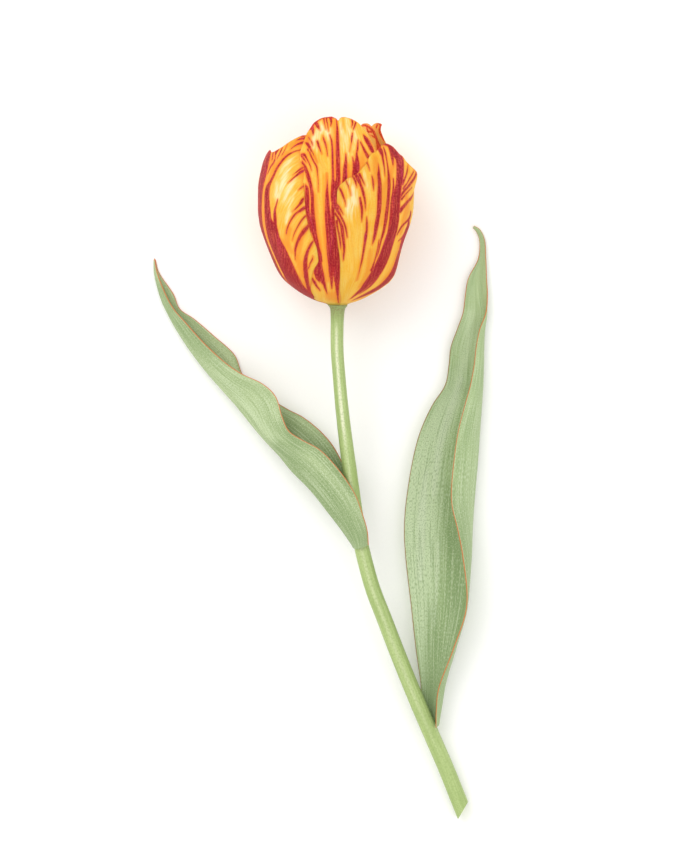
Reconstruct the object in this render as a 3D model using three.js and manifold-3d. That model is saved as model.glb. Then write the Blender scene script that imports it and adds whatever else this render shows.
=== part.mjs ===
// A cut tulip: one flamed bloom on a bare stem with two leaves, lying on a flat surface.
// Millimetres. X runs across the flower, Y from the cut end of the stem to the tip of the
// bloom, and Z up from the surface, with the origin under the middle of the whole flower.

import * as THREE from "three";
import { mergeVertices } from "three/addons/utils/BufferGeometryUtils.js";
import Module from "manifold-3d";

const wasm = await Module();
wasm.setup();

// Driving dimensions of the bloom
const bloomBase = new THREE.Vector3(6.2, 64.8, 24.2); // height 0 of the bloom's axis
const bloomRise = 0.105;        // how much the bloom's axis climbs for each millimetre along it
const bloomDepth = 0.94;        // the bloom is a little flatter than it is wide
const baseShift = 0.6;          // the petals' roots sit this far to the right of the bloom's axis
const baseShiftReach = 6;       // height over which that shift dies away
const petalThickness = 0.7;
const innerLayer = -1.7;        // the three inner petals lie this far inside the outer three
const slopeStep = 0.2;          // height over which the slope of the cup is measured
const petalColumns = 12;
const petalRows = 20;
const rowEase = 1.25;           // rows of a petal crowd a little towards its root
const petalRoot = 1.1;          // height at which the petals begin

// Radius of the cup of outer petals at each height along the bloom's axis
const cup = [
  [1.1, 4.1], [2.3, 8], [3.6, 11], [6, 15.1], [8.4, 18.3], [10.8, 21], [13.2, 22.8], [16.8, 24.6],
  [22, 26.6], [28, 28.5], [34, 30.1], [40, 31], [47, 31.2], [56.5, 29.6], [65, 25.8], [76, 20],
];

// Driving dimensions of the stem, listed from the bloom to the cut end
const stemSides = 14;
const stemSteps = 34;
const stemPath = [
  [6.8, 65.3], [6.6, 58], [6.6, 47.5], [7.5, 35.5], [8.6, 23.5], [10, 11.5], [11.6, -0.5],
  [13.2, -12.5], [15, -24.5], [17.6, -36.5], [21, -48.5], [25.6, -60.5], [30.2, -72.5],
  [35, -84.5], [40, -96.5], [45.2, -108.5], [50.4, -120.5], [55.2, -132.5], [58.4, -140.4],
];
const stemEndHeight = 3.3;      // of the stem's centre line above the surface, at the cut
const stemRadius = [
  [-140, 3.25], [-60, 3.1], [0, 2.85], [40, 2.55], [57, 2.6], [62.5, 2.8], [64.2, 3.1], [65.3, 3.9],
];
const cutPoint = new THREE.Vector3(58.8, -134.2, 0);
const cutDirection = new THREE.Vector3(-3.6, -6.2, 0).normalize();

// Profiles of the parts inside the bloom, each a list of height along the bloom's axis and radius
const receptacle = [[3.1, 1.2], [2.6, 1.7], [1.9, 1.8], [1.2, 2.1], [0.7, 2.6]];
const disc = [[3.5, 3.1], [4, 3.6], [4.8, 3.4]];
const filament = [[4.1, 0.7], [14.7, 0.5]];
const anther = [[14.1, 0.75], [17.1, 1.5], [25.4, 1.35], [29.1, 0.55]];
const ovary = [[5.1, 1.45], [8.1, 2.6], [15.6, 3.2], [25.1, 2.6]];
const stigma = [[24.5, 1.9], [25.5, 4.4], [26.9, 4.4], [27.6, 2.2]];
const stamenCount = 6;
const stamenRing = 2.8;         // distance of a filament's root from the bloom's axis
const stamenLean = 0.3;         // how far a stamen leans out for each millimetre of its height
const ovaryRidge = 0.14;        // depth of the three ridges of the ovary, as a share of its radius
const stigmaWaist = 0.62;       // radius between the stigma's three lobes, as a share of its reach
const roundSides = 18;
const filamentSides = 6;
const antherSides = 8;

const leafThickness = 0.8;
const leafColumns = 5;          // across each half of a leaf
const leafStepsPerStation = 2;

// A station of a leaf is the x, y, z of its keel, of its near edge and of its far edge, then
// how far the near half and the far half bulge. The hand is the side on which they bulge.
const leaves = [
  {
    name: "leaf_upper",
    hand: -1,
    stations: [
      [12.95, -32.5, 14.3, 19.2, -30.5, 17.1, 18.2, -30.9, 11.2, 2.7, 2.4],
      [12.0, -29.7, 14.6, 18.7, -24.9, 17.6, 18.2, -25.3, 12.0, 2.7, 2.4],
      [8.4, -24.7, 15.2, 16.8, -18.1, 19.4, 16.2, -18.1, 12.0, 2.3, 2.0],
      [2.8, -17.6, 14.8, 13.7, -9.9, 21.0, 13.8, -8.5, 12.3, 2.1, 1.8],
      [-4.2, -8.9, 13.8, 7.4, -0.5, 22.0, 9.2, 1.6, 12.6, 2.0, 1.8],
      [-12.2, -0.7, 12.6, -0.4, 7.7, 21.8, 4.2, 10.3, 11.4, 2.0, 2.0],
      [-16.9, 5.3, 11.6, -7.8, 11.8, 21.0, -1.4, 16.3, 9.6, 2.0, 2.0],
      [-21.4, 10.1, 10.6, -12.6, 15.1, 20.0, -7.4, 20.9, 7.9, 1.9, 1.9],
      [-25.8, 15.0, 9.6, -15.2, 20.4, 18.9, -12.7, 23.6, 6.2, 1.8, 1.8],
      [-30.1, 20.2, 8.5, -18.0, 29.0, 17.6, -18.2, 27.0, 4.4, 1.7, 1.7],
      [-34.3, 25.5, 7.4, -23.0, 33.9, 16.0, -23.4, 31.5, 3.0, 1.6, 1.6],
      [-40.1, 32.1, 6.1, -32.0, 38.3, 13.6, -31.0, 37.5, 1.9, 1.4, 1.2],
      [-45.2, 37.9, 5.0, -38.6, 42.9, 11.4, -34.4, 45.5, 1.2, 1.2, 1.0],
      [-52.2, 47.1, 3.7, -47.4, 51.1, 8.2, -42.8, 53.3, 0.8, 0.9, 0.9],
      [-58.0, 56.1, 2.8, -54.6, 59.2, 5.8, -50.9, 60.2, 0.8, 0.6, 0.6],
      [-61.2, 62.1, 2.4, -58.4, 63.5, 4.7, -56.4, 64.1, 0.9, 0.5, 0.4],
      [-63.7, 67.5, 2.1, -61.4, 68.5, 3.8, -59.0, 70.0, 1.0, 0.3, 0.3],
      [-66.5, 77.9, 1.5, -65.5, 78.7, 2.1, -65.0, 79.1, 1.0, 0.1, 0.1],
      [-66.9, 82.7, 1.2, -66.3, 83.3, 1.4, -66.0, 83.7, 1.0, 0, 0],
    ],
  },
  {
    name: "leaf_lower",
    hand: 1,
    stations: [
      [47.2, -101.5, 7.4, 46.2, -103.9, 9.4, 40.4, -104.1, 3.3, 0.4, 2.6],
      [48.4, -94.9, 7.4, 46.3, -97.3, 11.0, 40.0, -95.3, 3.6, 0.5, 2.2],
      [49.8, -86.6, 6.8, 47.2, -88.5, 12.4, 40.2, -88.0, 4.4, 0.6, 2.0],
      [53.6, -71.7, 4.6, 53.4, -71.7, 14.4, 38.1, -71.7, 6.2, 0.6, 2.4],
      [57.4, -55.7, 2.7, 58.5, -54.9, 16.4, 36.3, -55.3, 6.8, 0.5, 3.0],
      [59.8, -34.9, 1.9, 56.9, -34.9, 18.4, 34.0, -34.9, 7.0, 1.6, 3.4],
      [60.5, -24.5, 1.8, 54.9, -24.5, 18.8, 33.5, -25.3, 7.0, 2.0, 3.4],
      [61.5, -12.9, 1.8, 52.4, -12.9, 18.6, 34.2, -13.7, 7.0, 2.2, 3.4],
      [63.2, 6.7, 1.8, 53.8, 6.7, 16.6, 37.6, 6.7, 6.4, 2.2, 3.0],
      [63.8, 16.3, 1.8, 55.4, 16.3, 15.2, 40.5, 16.3, 6.0, 2.0, 2.8],
      [64.4, 25.5, 1.8, 57.8, 25.5, 13.6, 44.8, 25.5, 5.4, 1.8, 2.4],
      [64.9, 33.5, 1.8, 60.0, 33.5, 11.8, 49.9, 33.5, 4.6, 1.5, 2.0],
      [65.1, 41.5, 1.9, 61.5, 41.5, 9.6, 51.4, 41.5, 4.2, 1.2, 1.8],
      [65.2, 48.7, 2.0, 62.4, 49.1, 8.0, 52.2, 48.7, 3.8, 1.0, 1.6],
      [65.4, 55.5, 2.0, 63.8, 55.9, 6.4, 54.6, 55.5, 3.4, 0.8, 1.4],
      [65.8, 62.7, 2.0, 66.3, 62.7, 5.2, 57.1, 62.7, 3.0, 0.5, 1.0],
      [64.6, 69.9, 1.8, 66.9, 69.9, 3.9, 58.0, 69.9, 2.8, 0.2, 0.7],
      [64.0, 76.3, 1.7, 66.6, 76.3, 3.2, 59.2, 76.3, 2.4, 0.1, 0.4],
      [64.4, 84.3, 1.5, 66.3, 84.3, 2.5, 63.2, 84.3, 1.9, 0.1, 0.1],
      [64.8, 91.5, 1.4, 65.8, 91.9, 1.9, 63.6, 91.5, 1.6, 0, 0],
      [63.1, 95.3, 1.3, 64.0, 95.9, 1.5, 62.3, 95.1, 1.3, 0, 0],
      [61.2, 96.9, 1.2, 61.6, 97.5, 1.3, 61.0, 96.5, 1.2, 0, 0],
    ],
  },
];

// Colours
const colours = {
  petal: 0xf4a72c,
  leaf: 0x9dbb84,
  stem: 0xa9c46c,
  stamens: 0x3a2430,
  pistil: 0xd8d59a,
};

// Smooth curve through points [x, y] that never overshoots them
function smoothCurve(points) {
  const last = points.length - 1;
  const slopes = [];
  for (let i = 0; i < last; i++) {
    slopes.push((points[i + 1][1] - points[i][1]) / (points[i + 1][0] - points[i][0]));
  }
  const tangents = points.map((point, i) => {
    if (i === 0) return slopes[0];
    if (i === last) return slopes[last - 1];
    if (slopes[i - 1] * slopes[i] <= 0) return 0;
    return (2 * slopes[i - 1] * slopes[i]) / (slopes[i - 1] + slopes[i]);
  });
  return (x) => {
    const held = THREE.MathUtils.clamp(x, points[0][0], points[last][0]);
    let i = 0;
    while (i < last - 1 && held > points[i + 1][0]) i++;
    const width = points[i + 1][0] - points[i][0];
    const s = (held - points[i][0]) / width;
    const bend = s * s * (3 - 2 * s);
    return (
      points[i][1] * (1 - bend) +
      points[i + 1][1] * bend +
      width * s * (1 - s) * (tangents[i] * (1 - s) - tangents[i + 1] * s)
    );
  };
}

const step = THREE.MathUtils.smoothstep;

// Closed mesh from a list of corners and triangles, with its faces pointing out
function solid(corners, triangles) {
  let volume = 0;
  for (const [a, b, c] of triangles) {
    volume += corners[a].dot(corners[b].clone().cross(corners[c]));
  }
  const outward = volume > 0 ? triangles : triangles.map(([a, b, c]) => [a, c, b]);
  const geometry = new THREE.BufferGeometry();
  const places = corners.flatMap((point) => point.toArray());
  geometry.setAttribute("position", new THREE.Float32BufferAttribute(places, 3));
  geometry.setIndex(outward.flat());
  return geometry;
}

// Thin closed blade between two faces, each given by a function of column and row
function blade(columns, rows, frontAt, backAt) {
  const corners = [];
  const triangles = [];
  const faceSize = (columns + 1) * (rows + 1);
  for (const at of [frontAt, backAt]) {
    for (let row = 0; row <= rows; row++) {
      for (let column = 0; column <= columns; column++) {
        corners.push(at(column, row));
      }
    }
  }
  const corner = (column, row) => row * (columns + 1) + column;
  for (let row = 0; row < rows; row++) {
    for (let column = 0; column < columns; column++) {
      const a = corner(column, row);
      const b = corner(column + 1, row);
      const c = corner(column + 1, row + 1);
      const d = corner(column, row + 1);
      triangles.push([a, b, c], [a, c, d]);
      triangles.push([a + faceSize, c + faceSize, b + faceSize], [a + faceSize, d + faceSize, c + faceSize]);
    }
  }
  const rim = [];
  for (let column = 0; column < columns; column++) rim.push(corner(column, 0));
  for (let row = 0; row < rows; row++) rim.push(corner(columns, row));
  for (let column = columns; column > 0; column--) rim.push(corner(column, rows));
  for (let row = rows; row > 0; row--) rim.push(corner(0, row));
  rim.forEach((from, i) => {
    const to = rim[(i + 1) % rim.length];
    triangles.push([from, from + faceSize, to + faceSize], [from, to + faceSize, to]);
  });
  return solid(corners, triangles);
}

// Closed tube through a list of rings that all have the same number of corners
function loft(rings) {
  const sides = rings[0].length;
  const corners = rings.flat();
  const triangles = [];
  for (let ring = 0; ring < rings.length - 1; ring++) {
    for (let side = 0; side < sides; side++) {
      const a = ring * sides + side;
      const b = ring * sides + ((side + 1) % sides);
      triangles.push([a, b, b + sides], [a, b + sides, a + sides]);
    }
  }
  for (const end of [0, rings.length - 1]) {
    const middle = new THREE.Vector3();
    for (const point of rings[end]) middle.add(point);
    middle.divideScalar(sides);
    corners.push(middle);
    for (let side = 0; side < sides; side++) {
      const pair = [end * sides + side, end * sides + ((side + 1) % sides)];
      triangles.push(end === 0 ? [corners.length - 1, pair[1], pair[0]] : [corners.length - 1, ...pair]);
    }
  }
  return solid(corners, triangles);
}

// Bloom

const cupRadius = smoothCurve(cup);

// Place of a point given across the bloom, along its axis and up from the axis
function inBloom(across, along, up) {
  const shift = baseShift * Math.exp(-Math.max(along, 0) / baseShiftReach);
  return new THREE.Vector3(
    bloomBase.x + shift + across,
    bloomBase.y + along,
    bloomBase.z + bloomRise * along + bloomDepth * up,
  );
}

// Place on the cup at a height and an angle round it, moved out along its surface's normal
// and then in towards the axis. The angle is 0 at the top of the lying bloom and 90 on its right.
function onCup(height, degrees, out, lean) {
  const below = Math.max(height - slopeStep, 0);
  const above = height + slopeStep;
  const slope = (cupRadius(above) - cupRadius(below)) / (above - below);
  const length = Math.hypot(1, slope);
  const radius = cupRadius(height) + out / length - lean;
  const angle = THREE.MathUtils.degToRad(degrees);
  return inBloom(radius * Math.sin(angle), height - (out * slope) / length, radius * Math.cos(angle));
}

// A rounded rise of 1 about a height, and how far the cup is pressed in on its right and
// swells below that
const hump = (height, centre, reach) => Math.exp(-(((height - centre) / reach) ** 2));
const rightDip = (height) => 0.8 * hump(height, 25, 7);
const rightBulge = (height) => 0.85 * hump(height, 11, 5);

// A petal is bounded by two side edges and a middle line, each an angle at each height, and
// by its top edge, the height reached at each place across it, from -1 to 1.
// The out and lean functions take the place across it and the height.
const petals = [
  {
    name: "petal_inner_front",
    left: [[1.1, -98], [2.3, -91], [2.9, -74], [3.7, -53.5], [9, -44], [17, -32], [30, -29], [42, -29],
      [48, -25.4], [52, -22.8], [55.4, -23], [57.2, -28], [60, -30], [76, -30]],
    middle: [[0, -12], [5, -6], [14, 2], [76, 3]],
    right: [[1.1, 7], [2.6, 6.5], [3.7, 8], [6, 20], [9, 32], [16, 44], [52, 45], [61, 38], [67, 36.5],
      [76, 36]],
    top: [[-1, 68.6], [-0.9, 72.4], [-0.78, 73.7], [-0.62, 74.9], [-0.35, 75.8], [-0.18, 75.6], [0, 74.3],
      [0.12, 75.4], [0.3, 75.8], [0.5, 75.3], [0.75, 74], [0.9, 72.2], [1, 67.4]],
    out: (across, height) =>
      innerLayer * step(height, petalRoot, 6) + 1.8 * step(-across, 0.3, 0.9) * step(height, 50, 59),
    lean: (across, height) => 4 * step(height, 58, 80),
  },
  {
    name: "petal_inner_back_right",
    left: [[0, 75], [10, 70], [30, 66], [48, 68], [56, 84], [61, 104], [65, 116.5], [70, 110], [74, 106]],
    middle: [[0, 122], [76, 128]],
    right: [[0, 165], [20, 171], [50, 171], [76, 160]],
    top: [[-1, 71.5], [-0.75, 72.8], [-0.45, 73.9], [-0.2, 74.2], [0, 74.2], [0.2, 74], [0.35, 73],
      [0.5, 70], [0.65, 64], [0.8, 56], [1, 45]],
    out: (across, height) => innerLayer - rightDip(height) * (1 - step(across, -0.3, 0.3)),
    lean: (across, height) => 4.8 * step(height, 50, 70),
  },
  {
    name: "petal_inner_back_left",
    left: [[0, -165], [20, -171], [50, -171], [76, -160]],
    middle: [[0, -118], [76, -112]],
    right: [[0, -72], [10, -66], [30, -52], [55, -50], [76, -62]],
    top: [[-1, 45], [-0.7, 57], [-0.35, 63.5], [0, 66], [0.35, 65.4], [0.7, 63], [1, 53]],
    out: () => innerLayer,
    lean: (across, height) => 5 * step(height, 46, 70),
  },
  {
    name: "petal_outer_left",
    left: [[0, -152], [20, -138], [45, -136], [60, -128], [70, -120]],
    middle: [[0, -106], [12, -84], [30, -77], [70, -76]],
    right: [[1.1, -104], [2.3, -97], [2.9, -80], [3.7, -59], [4.6, -50], [5.8, -44], [9.7, -30],
      [14.4, -22.6], [18.5, -16.2], [22.6, -16.5], [28.8, -20.4], [36, -22.9], [46, -24], [52, -25],
      [55.6, -25.4], [57.5, -22], [61, -18], [70, -17]],
    top: [[-1, 35], [-0.8, 47], [-0.6, 54.5], [-0.4, 59], [-0.2, 61.4], [-0.04, 62.6], [0.13, 61.6],
      [0.34, 63.4], [0.5, 66.4], [0.66, 68.8], [0.8, 69.3], [0.92, 68.2], [1, 64.6]],
    out: (across, height) =>
      0.7 * hump(height, 32, 9) * (1 - step(across, 0.2, 0.8))
      - 1.9 * step(across, 0.4, 0.85) * step(height, 47, 57),
    lean: (across, height) => 1.4 * step(across, 0.1, 0.8) * step(height, 56, 68),
  },
  {
    name: "petal_outer_right",
    left: [[0, 13], [1.5, 11], [7, 4.2], [17, 3.6], [27, 0.8], [38, -1.3], [41.5, 0.6], [45, 0.7], [50, 3]],
    middle: [[0, 52], [76, 50]],
    right: [[0, 98], [20, 107], [45, 107], [60, 100]],
    top: [[-1, 47.2], [-0.94, 49.4], [-0.89, 50.8], [-0.82, 51.6], [-0.7, 53.4], [-0.56, 56.9], [-0.5, 59],
      [-0.43, 60.7], [-0.33, 61.7], [-0.11, 64.4], [0, 65], [0.17, 63.9], [0.3, 60.9], [0.37, 59.9],
      [0.41, 58], [0.46, 56.8], [0.56, 54.9], [0.66, 53.4], [0.74, 52.1], [0.8, 50.4], [0.87, 48], [1, 39]],
    out: (across, height) =>
      2.1 * step(across, 0.3, 0.72) * step(height, 46, 53.5)
      - rightDip(height) * step(across, -0.4, 0.3)
      + rightBulge(height) * step(across, 0, 0.5),
    lean: () => 0,
  },
  {
    name: "petal_outer_back",
    left: [[0, 113], [20, 112], [45, 114], [58, 120], [66, 124], [70, 121], [71.5, 118], [73, 109.5],
      [76, 106]],
    middle: [[0, 162], [50, 164], [76, 150]],
    right: [[0, 202], [20, 216], [45, 217], [60, 210], [76, 200]],
    top: [[-1, 73], [-0.9, 73.5], [-0.7, 73.6], [-0.55, 73.2], [-0.42, 72], [-0.2, 71], [0, 70],
      [0.3, 67], [0.6, 60.5], [0.8, 53], [1, 42]],
    out: () => 0,
    lean: (across, height) => 2.2 * step(height, 50, 72),
  },
];

function petalGeometry(petal) {
  const left = smoothCurve(petal.left);
  const middle = smoothCurve(petal.middle);
  const right = smoothCurve(petal.right);
  const top = smoothCurve(petal.top);
  const faceAt = (depth) => (column, row) => {
    const across = (2 * column) / petalColumns - 1;
    const height = THREE.MathUtils.lerp(petalRoot, top(across), (row / petalRows) ** rowEase);
    const side = across < 0 ? left(height) : right(height);
    const degrees = THREE.MathUtils.lerp(middle(height), side, Math.abs(across));
    const point = onCup(height, degrees, petal.out(across, height) - depth, petal.lean(across, height));
    point.z = Math.max(point.z, depth); // the belly is pressed flat where the bloom lies on it
    return point;
  };
  return blade(petalColumns, petalRows, faceAt(0), faceAt(petalThickness));
}

// Parts inside the bloom

function manifold(geometry) {
  const bare = mergeVertices(geometry, 1e-4);
  return new wasm.Manifold(
    new wasm.Mesh({
      numProp: 3,
      vertProperties: new Float32Array(bare.attributes.position.array),
      triVerts: new Uint32Array(bare.index.array),
    }),
  );
}

function fused(geometries) {
  const body = geometries.map(manifold).reduce((whole, piece) => whole.add(piece));
  const mesh = body.getMesh();
  const geometry = new THREE.BufferGeometry();
  geometry.setAttribute("position", new THREE.BufferAttribute(mesh.vertProperties, 3));
  geometry.setIndex(new THREE.BufferAttribute(mesh.triVerts, 1));
  return geometry;
}

// Loft of a profile along the bloom's axis. The offset is its distance from the axis at each
// height, towards an angle round it, and the shape is the ring's own reach round its middle.
function spindle(profile, sides, shape = () => 1, offsetAt = () => 0, degrees = 0) {
  const side = THREE.MathUtils.degToRad(degrees);
  const rings = profile.map(([height, radius]) =>
    Array.from({ length: sides }, (unused, corner) => {
      const turn = (2 * Math.PI * corner) / sides;
      const reach = radius * shape(turn);
      return inBloom(
        offsetAt(height) * Math.sin(side) + reach * Math.sin(turn),
        height,
        offsetAt(height) * Math.cos(side) + reach * Math.cos(turn),
      );
    }),
  );
  return loft(rings);
}

function stamens() {
  const round = () => 1;
  const offsetAt = (height) => stamenRing + (height - filament[0][0]) * stamenLean;
  const pieces = [spindle(disc, roundSides)];
  for (let i = 0; i < stamenCount; i++) {
    const degrees = (360 / stamenCount) * (i + 0.5);
    pieces.push(spindle(filament, filamentSides, round, offsetAt, degrees));
    pieces.push(spindle(anther, antherSides, round, offsetAt, degrees));
  }
  return fused(pieces);
}

function pistil() {
  const ridged = (turn) => 1 + ovaryRidge * Math.cos(3 * turn);
  const lobed = (turn) => stigmaWaist + (1 - stigmaWaist) * Math.cos(1.5 * turn) ** 2;
  return fused([spindle(ovary, roundSides, ridged), spindle(stigma, roundSides, lobed)]);
}

// Stem

const stemTop = stemPath[0][1];
const stemFoot = stemPath[stemPath.length - 1][1];

// Height of the stem's centre line above the surface, for a place along the flower
function stemCentre(y) {
  return THREE.MathUtils.mapLinear(y, stemFoot, stemTop, stemEndHeight, bloomBase.z);
}

function ring(centre, tangent, radius) {
  const side = new THREE.Vector3(0, 0, 1).cross(tangent).normalize();
  const up = tangent.clone().cross(side);
  return Array.from({ length: stemSides }, (unused, corner) => {
    const turn = (2 * Math.PI * corner) / stemSides;
    return centre
      .clone()
      .addScaledVector(side, radius * Math.cos(turn))
      .addScaledVector(up, radius * Math.sin(turn));
  });
}

function stemGeometry() {
  const line = new THREE.CatmullRomCurve3(
    stemPath.map(([x, y]) => new THREE.Vector3(x, y, stemCentre(y))),
  );
  const radiusAt = smoothCurve(stemRadius);
  const axis = new THREE.Vector3(0, -1, -bloomRise).normalize();
  const rings = receptacle.map(([height, radius]) => ring(inBloom(0, height, 0), axis, radius));
  for (let i = 0; i <= stemSteps; i++) {
    const centre = line.getPointAt(i / stemSteps);
    rings.push(ring(centre, line.getTangentAt(i / stemSteps), radiusAt(centre.y)));
  }
  // the slanting cut: the last ring is slid along the stem onto the plane of the cut
  const end = line.getTangentAt(1);
  const cutNormal = new THREE.Vector3(-cutDirection.y, cutDirection.x, 0);
  for (const point of rings[rings.length - 1]) {
    const short = cutPoint.clone().sub(point).dot(cutNormal);
    point.addScaledVector(end, short / end.dot(cutNormal));
  }
  return settled(loft(rings));
}

// Moves a shape up or down until its lowest point is on the surface
function settled(geometry) {
  geometry.computeBoundingBox();
  return geometry.translate(0, 0, -geometry.boundingBox.min.z);
}

// Leaves

// A leaf is a trough: from the keel a near half rises towards the viewer, and a far half
// spreads below it. Each station gives the keel, the near edge and the far edge, and how far
// each half bulges out of the straight line between them.
function leafGeometry(leaf) {
  const guide = (start) => {
    const points = leaf.stations.map((row) => new THREE.Vector3(...row.slice(start, start + 3)));
    return new THREE.CatmullRomCurve3(points);
  };
  const keel = guide(0);
  const near = guide(3);
  const far = guide(6);
  const bulge = guide(8); // its y and z are the two bulges
  const rows = (leaf.stations.length - 1) * leafStepsPerStation;
  const columns = 2 * leafColumns;

  const middleAt = (column, row) => {
    const along = THREE.MathUtils.clamp(row / rows, 0, 1);
    const across = column / leafColumns - 1;
    const share = Math.abs(across);
    const root = keel.getPoint(along);
    const chord = (across > 0 ? near : far).getPoint(along).sub(root);
    const out = keel.getTangent(along).cross(chord).normalize();
    const bulges = bulge.getPoint(along);
    const swell = (across > 0 ? bulges.y : -bulges.z) * leaf.hand;
    return root.addScaledVector(chord, share).addScaledVector(out, 4 * swell * share * (1 - share));
  };
  const faceAt = (depth) => (column, row) => {
    const ahead = middleAt(column, Math.min(row + 0.5, rows));
    const behind = middleAt(column, Math.max(row - 0.5, 0));
    const oneSide = middleAt(Math.max(column - 0.5, 0), row);
    const otherSide = middleAt(Math.min(column + 0.5, columns), row);
    const normal = ahead.sub(behind).cross(otherSide.sub(oneSide)).normalize();
    return middleAt(column, row).addScaledVector(normal, depth);
  };
  return settled(blade(columns, rows, faceAt(leafThickness / 2), faceAt(-leafThickness / 2)));
}

const group = new THREE.Group();
group.name = "cut_tulip";

function addMesh(name, geometry, color, roughness) {
  const mesh = new THREE.Mesh(geometry, new THREE.MeshStandardMaterial({ color, roughness, metalness: 0 }));
  mesh.name = name;
  group.add(mesh);
}

addMesh("stem", stemGeometry(), colours.stem, 0.5);
for (const leaf of leaves) addMesh(leaf.name, leafGeometry(leaf), colours.leaf, 0.55);
for (const petal of petals) addMesh(petal.name, petalGeometry(petal), colours.petal, 0.45);
addMesh("stamens", stamens(), colours.stamens, 0.7);
addMesh("pistil", pistil(), colours.pistil, 0.5);

export default group;
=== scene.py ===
import math

import bpy
import numpy as np
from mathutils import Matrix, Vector


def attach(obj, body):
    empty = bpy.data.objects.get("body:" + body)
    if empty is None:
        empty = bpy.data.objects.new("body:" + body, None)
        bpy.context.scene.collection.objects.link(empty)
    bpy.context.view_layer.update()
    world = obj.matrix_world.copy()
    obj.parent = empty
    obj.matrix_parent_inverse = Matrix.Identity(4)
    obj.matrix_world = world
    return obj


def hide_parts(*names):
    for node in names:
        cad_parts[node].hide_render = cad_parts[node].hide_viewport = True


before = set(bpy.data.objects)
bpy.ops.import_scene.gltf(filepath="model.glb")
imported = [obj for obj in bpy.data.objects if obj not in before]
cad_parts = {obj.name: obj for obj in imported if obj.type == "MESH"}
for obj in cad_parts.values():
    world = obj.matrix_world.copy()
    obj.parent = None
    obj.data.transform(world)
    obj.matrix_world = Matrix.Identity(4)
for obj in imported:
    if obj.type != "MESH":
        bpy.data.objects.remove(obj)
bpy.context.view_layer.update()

MM = 0.001
CHART_UNIT = 10                 # millimetres in one unit of a petal's or a leaf's chart

# The view: straight down on the lying flower, through a very long lens
PICTURE_HEIGHT = 843            # pixels
PIXEL = 0.4 * MM                # what one shows at the height of the middle of the flower
VIEW_CENTRE = Vector((11.76, 18.9, 25)) * MM
LENS = 800
SENSOR = 36
VIEW_REACH = 100                # metres

# The table and the lamps, in metres: a lamp's name, its place, its width and its power in watts
TABLE_SIZE = 12
SKY_STRENGTH = 1.06
LAMPS = [
    ("key", (-0.9, 0.9, 1.5), 1.2, 11),
    ("fill", (1.2, -0.6, 1.6), 1.6, 4),
]

# The light on a level surface, as a share of what would show its colour unchanged
LIGHT = 1.2
# Inside the bloom the colours are painted brighter for a lower light: painted light that makes up for the
# shade there
LIGHT_INSIDE = 0.7              # inside the bloom
# A painted glow: an emission on the inside of the petals that stands in for light coming through them
PAINTED_GLOW_COLOUR = (1, 0.55, 0.08, 1)      # colour of the light that comes through a petal
BRIGHTEST = 255                 # what a full red, green or blue is in the colours below

# Degrees between two faces past which their edge stays sharp
CREASE = 50                     # of the petals and the stem
WIDE_CREASE = 60                # of the leaves and the parts inside the bloom

# The bloom's axis, and the cup that its outer petals lie on as (height, radius)
BLOOM_BASE = (6.2, 64.8, 24.2)  # height 0 of the bloom's axis
BLOOM_RISE = 0.105              # climb of the axis for each millimetre along it
BLOOM_DEPTH = 0.94              # the bloom is a little flatter than it is wide
BASE_SHIFT = 0.6                # the petals' roots sit this far to the right of the axis
BASE_SHIFT_REACH = 6            # height over which that fades
SLOPE_STEP = 0.2                # height over which the cup's slope is taken, each way
PLACES_ACROSS = 401             # across a petal, where a stroke's place on it is looked for
OUT_OF_SIGHT = 1000             # how much farther off a hidden place counts
LEAST_TURN = 0.15               # least share of its width that a stroke shows in the view
PAST_OUTLINE = 1.5              # how far a stroke goes on behind the outline
TURNED = 0.2                    # the share that it shows where a petal has turned away
TURNING = 0.6                   # and where the petal begins to turn
STEADY_REACH = 7                # points each way over which a stroke is evened out there
STROKE_REACH = 3                # distance from the strokes past which all places count alike
PETAL_THICKNESS = 0.5
PETAL_THIN = 0.4                # share of that at the margin
INNER_LAYER = -1.7              # the inner petals at the back lie this far inside the outer ones
FRONT_LAYER = -0.24             # and the one at the front this far
COVERED_LAYER = -0.32           # and this much more where its neighbours cover it
FAN_FROM = 14                   # height from which a petal's veins fan out to its margins
FAN_REACH = 28                  # height over which they grow about 2.7 times as far apart
WIDEST = 30                     # height at which a petal's width sets the scale of its veins
MARGIN_REACH = 4                # distance over which a petal thins towards its margin
ROW_EASE = 1.25                 # more than 1, so that a petal's rows crowd towards its root
PETAL_ROOT = 0.6                # height at which the petals begin
CUP = [
    (0.6, 3.7), (1.1, 4.3), (2.3, 8), (3.6, 11), (6, 15.1), (8.4, 18.3), (10.8, 21), (13.2, 22.8),
    (16.8, 24.6), (22, 26.6), (28, 28.5), (34, 30.1), (40, 31), (47, 31.2), (56.5, 29.6),
    (65, 25.8), (76, 20),
]

# The stem: its path as (x, y) from the bloom to the cut end, and its radius as (y, radius). Its
# ribs are given as (how many, their height as a share of the radius, how far they are turned).
STEM_PATH = [
    (6.8, 65.3), (6.6, 58), (6.6, 47.5), (7.5, 35.5), (8.6, 23.5), (10, 11.5), (11.6, -0.5),
    (13.2, -12.5), (15, -24.5), (17.6, -36.5), (21, -48.5), (25.6, -60.5), (30.2, -72.5),
    (35, -84.5), (40, -96.5), (45.2, -108.5), (50.4, -120.5), (55.2, -132.5), (58.4, -140.4),
]
STEM_END_HEIGHT = 3.3           # of its centre line above the surface, at the cut
STEM_RADIUS = [
    (-140, 3.25), (-60, 3.1), (0, 2.85), (40, 2.55), (57, 2.6), (62.5, 2.8), (64.2, 3.1), (65.3, 3.9),
]
STEM_SIDES = 56
STEM_STEPS = 300
STEM_RIBS = [(7, 0.008, 0), (11, 0.006, 1)]
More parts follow.
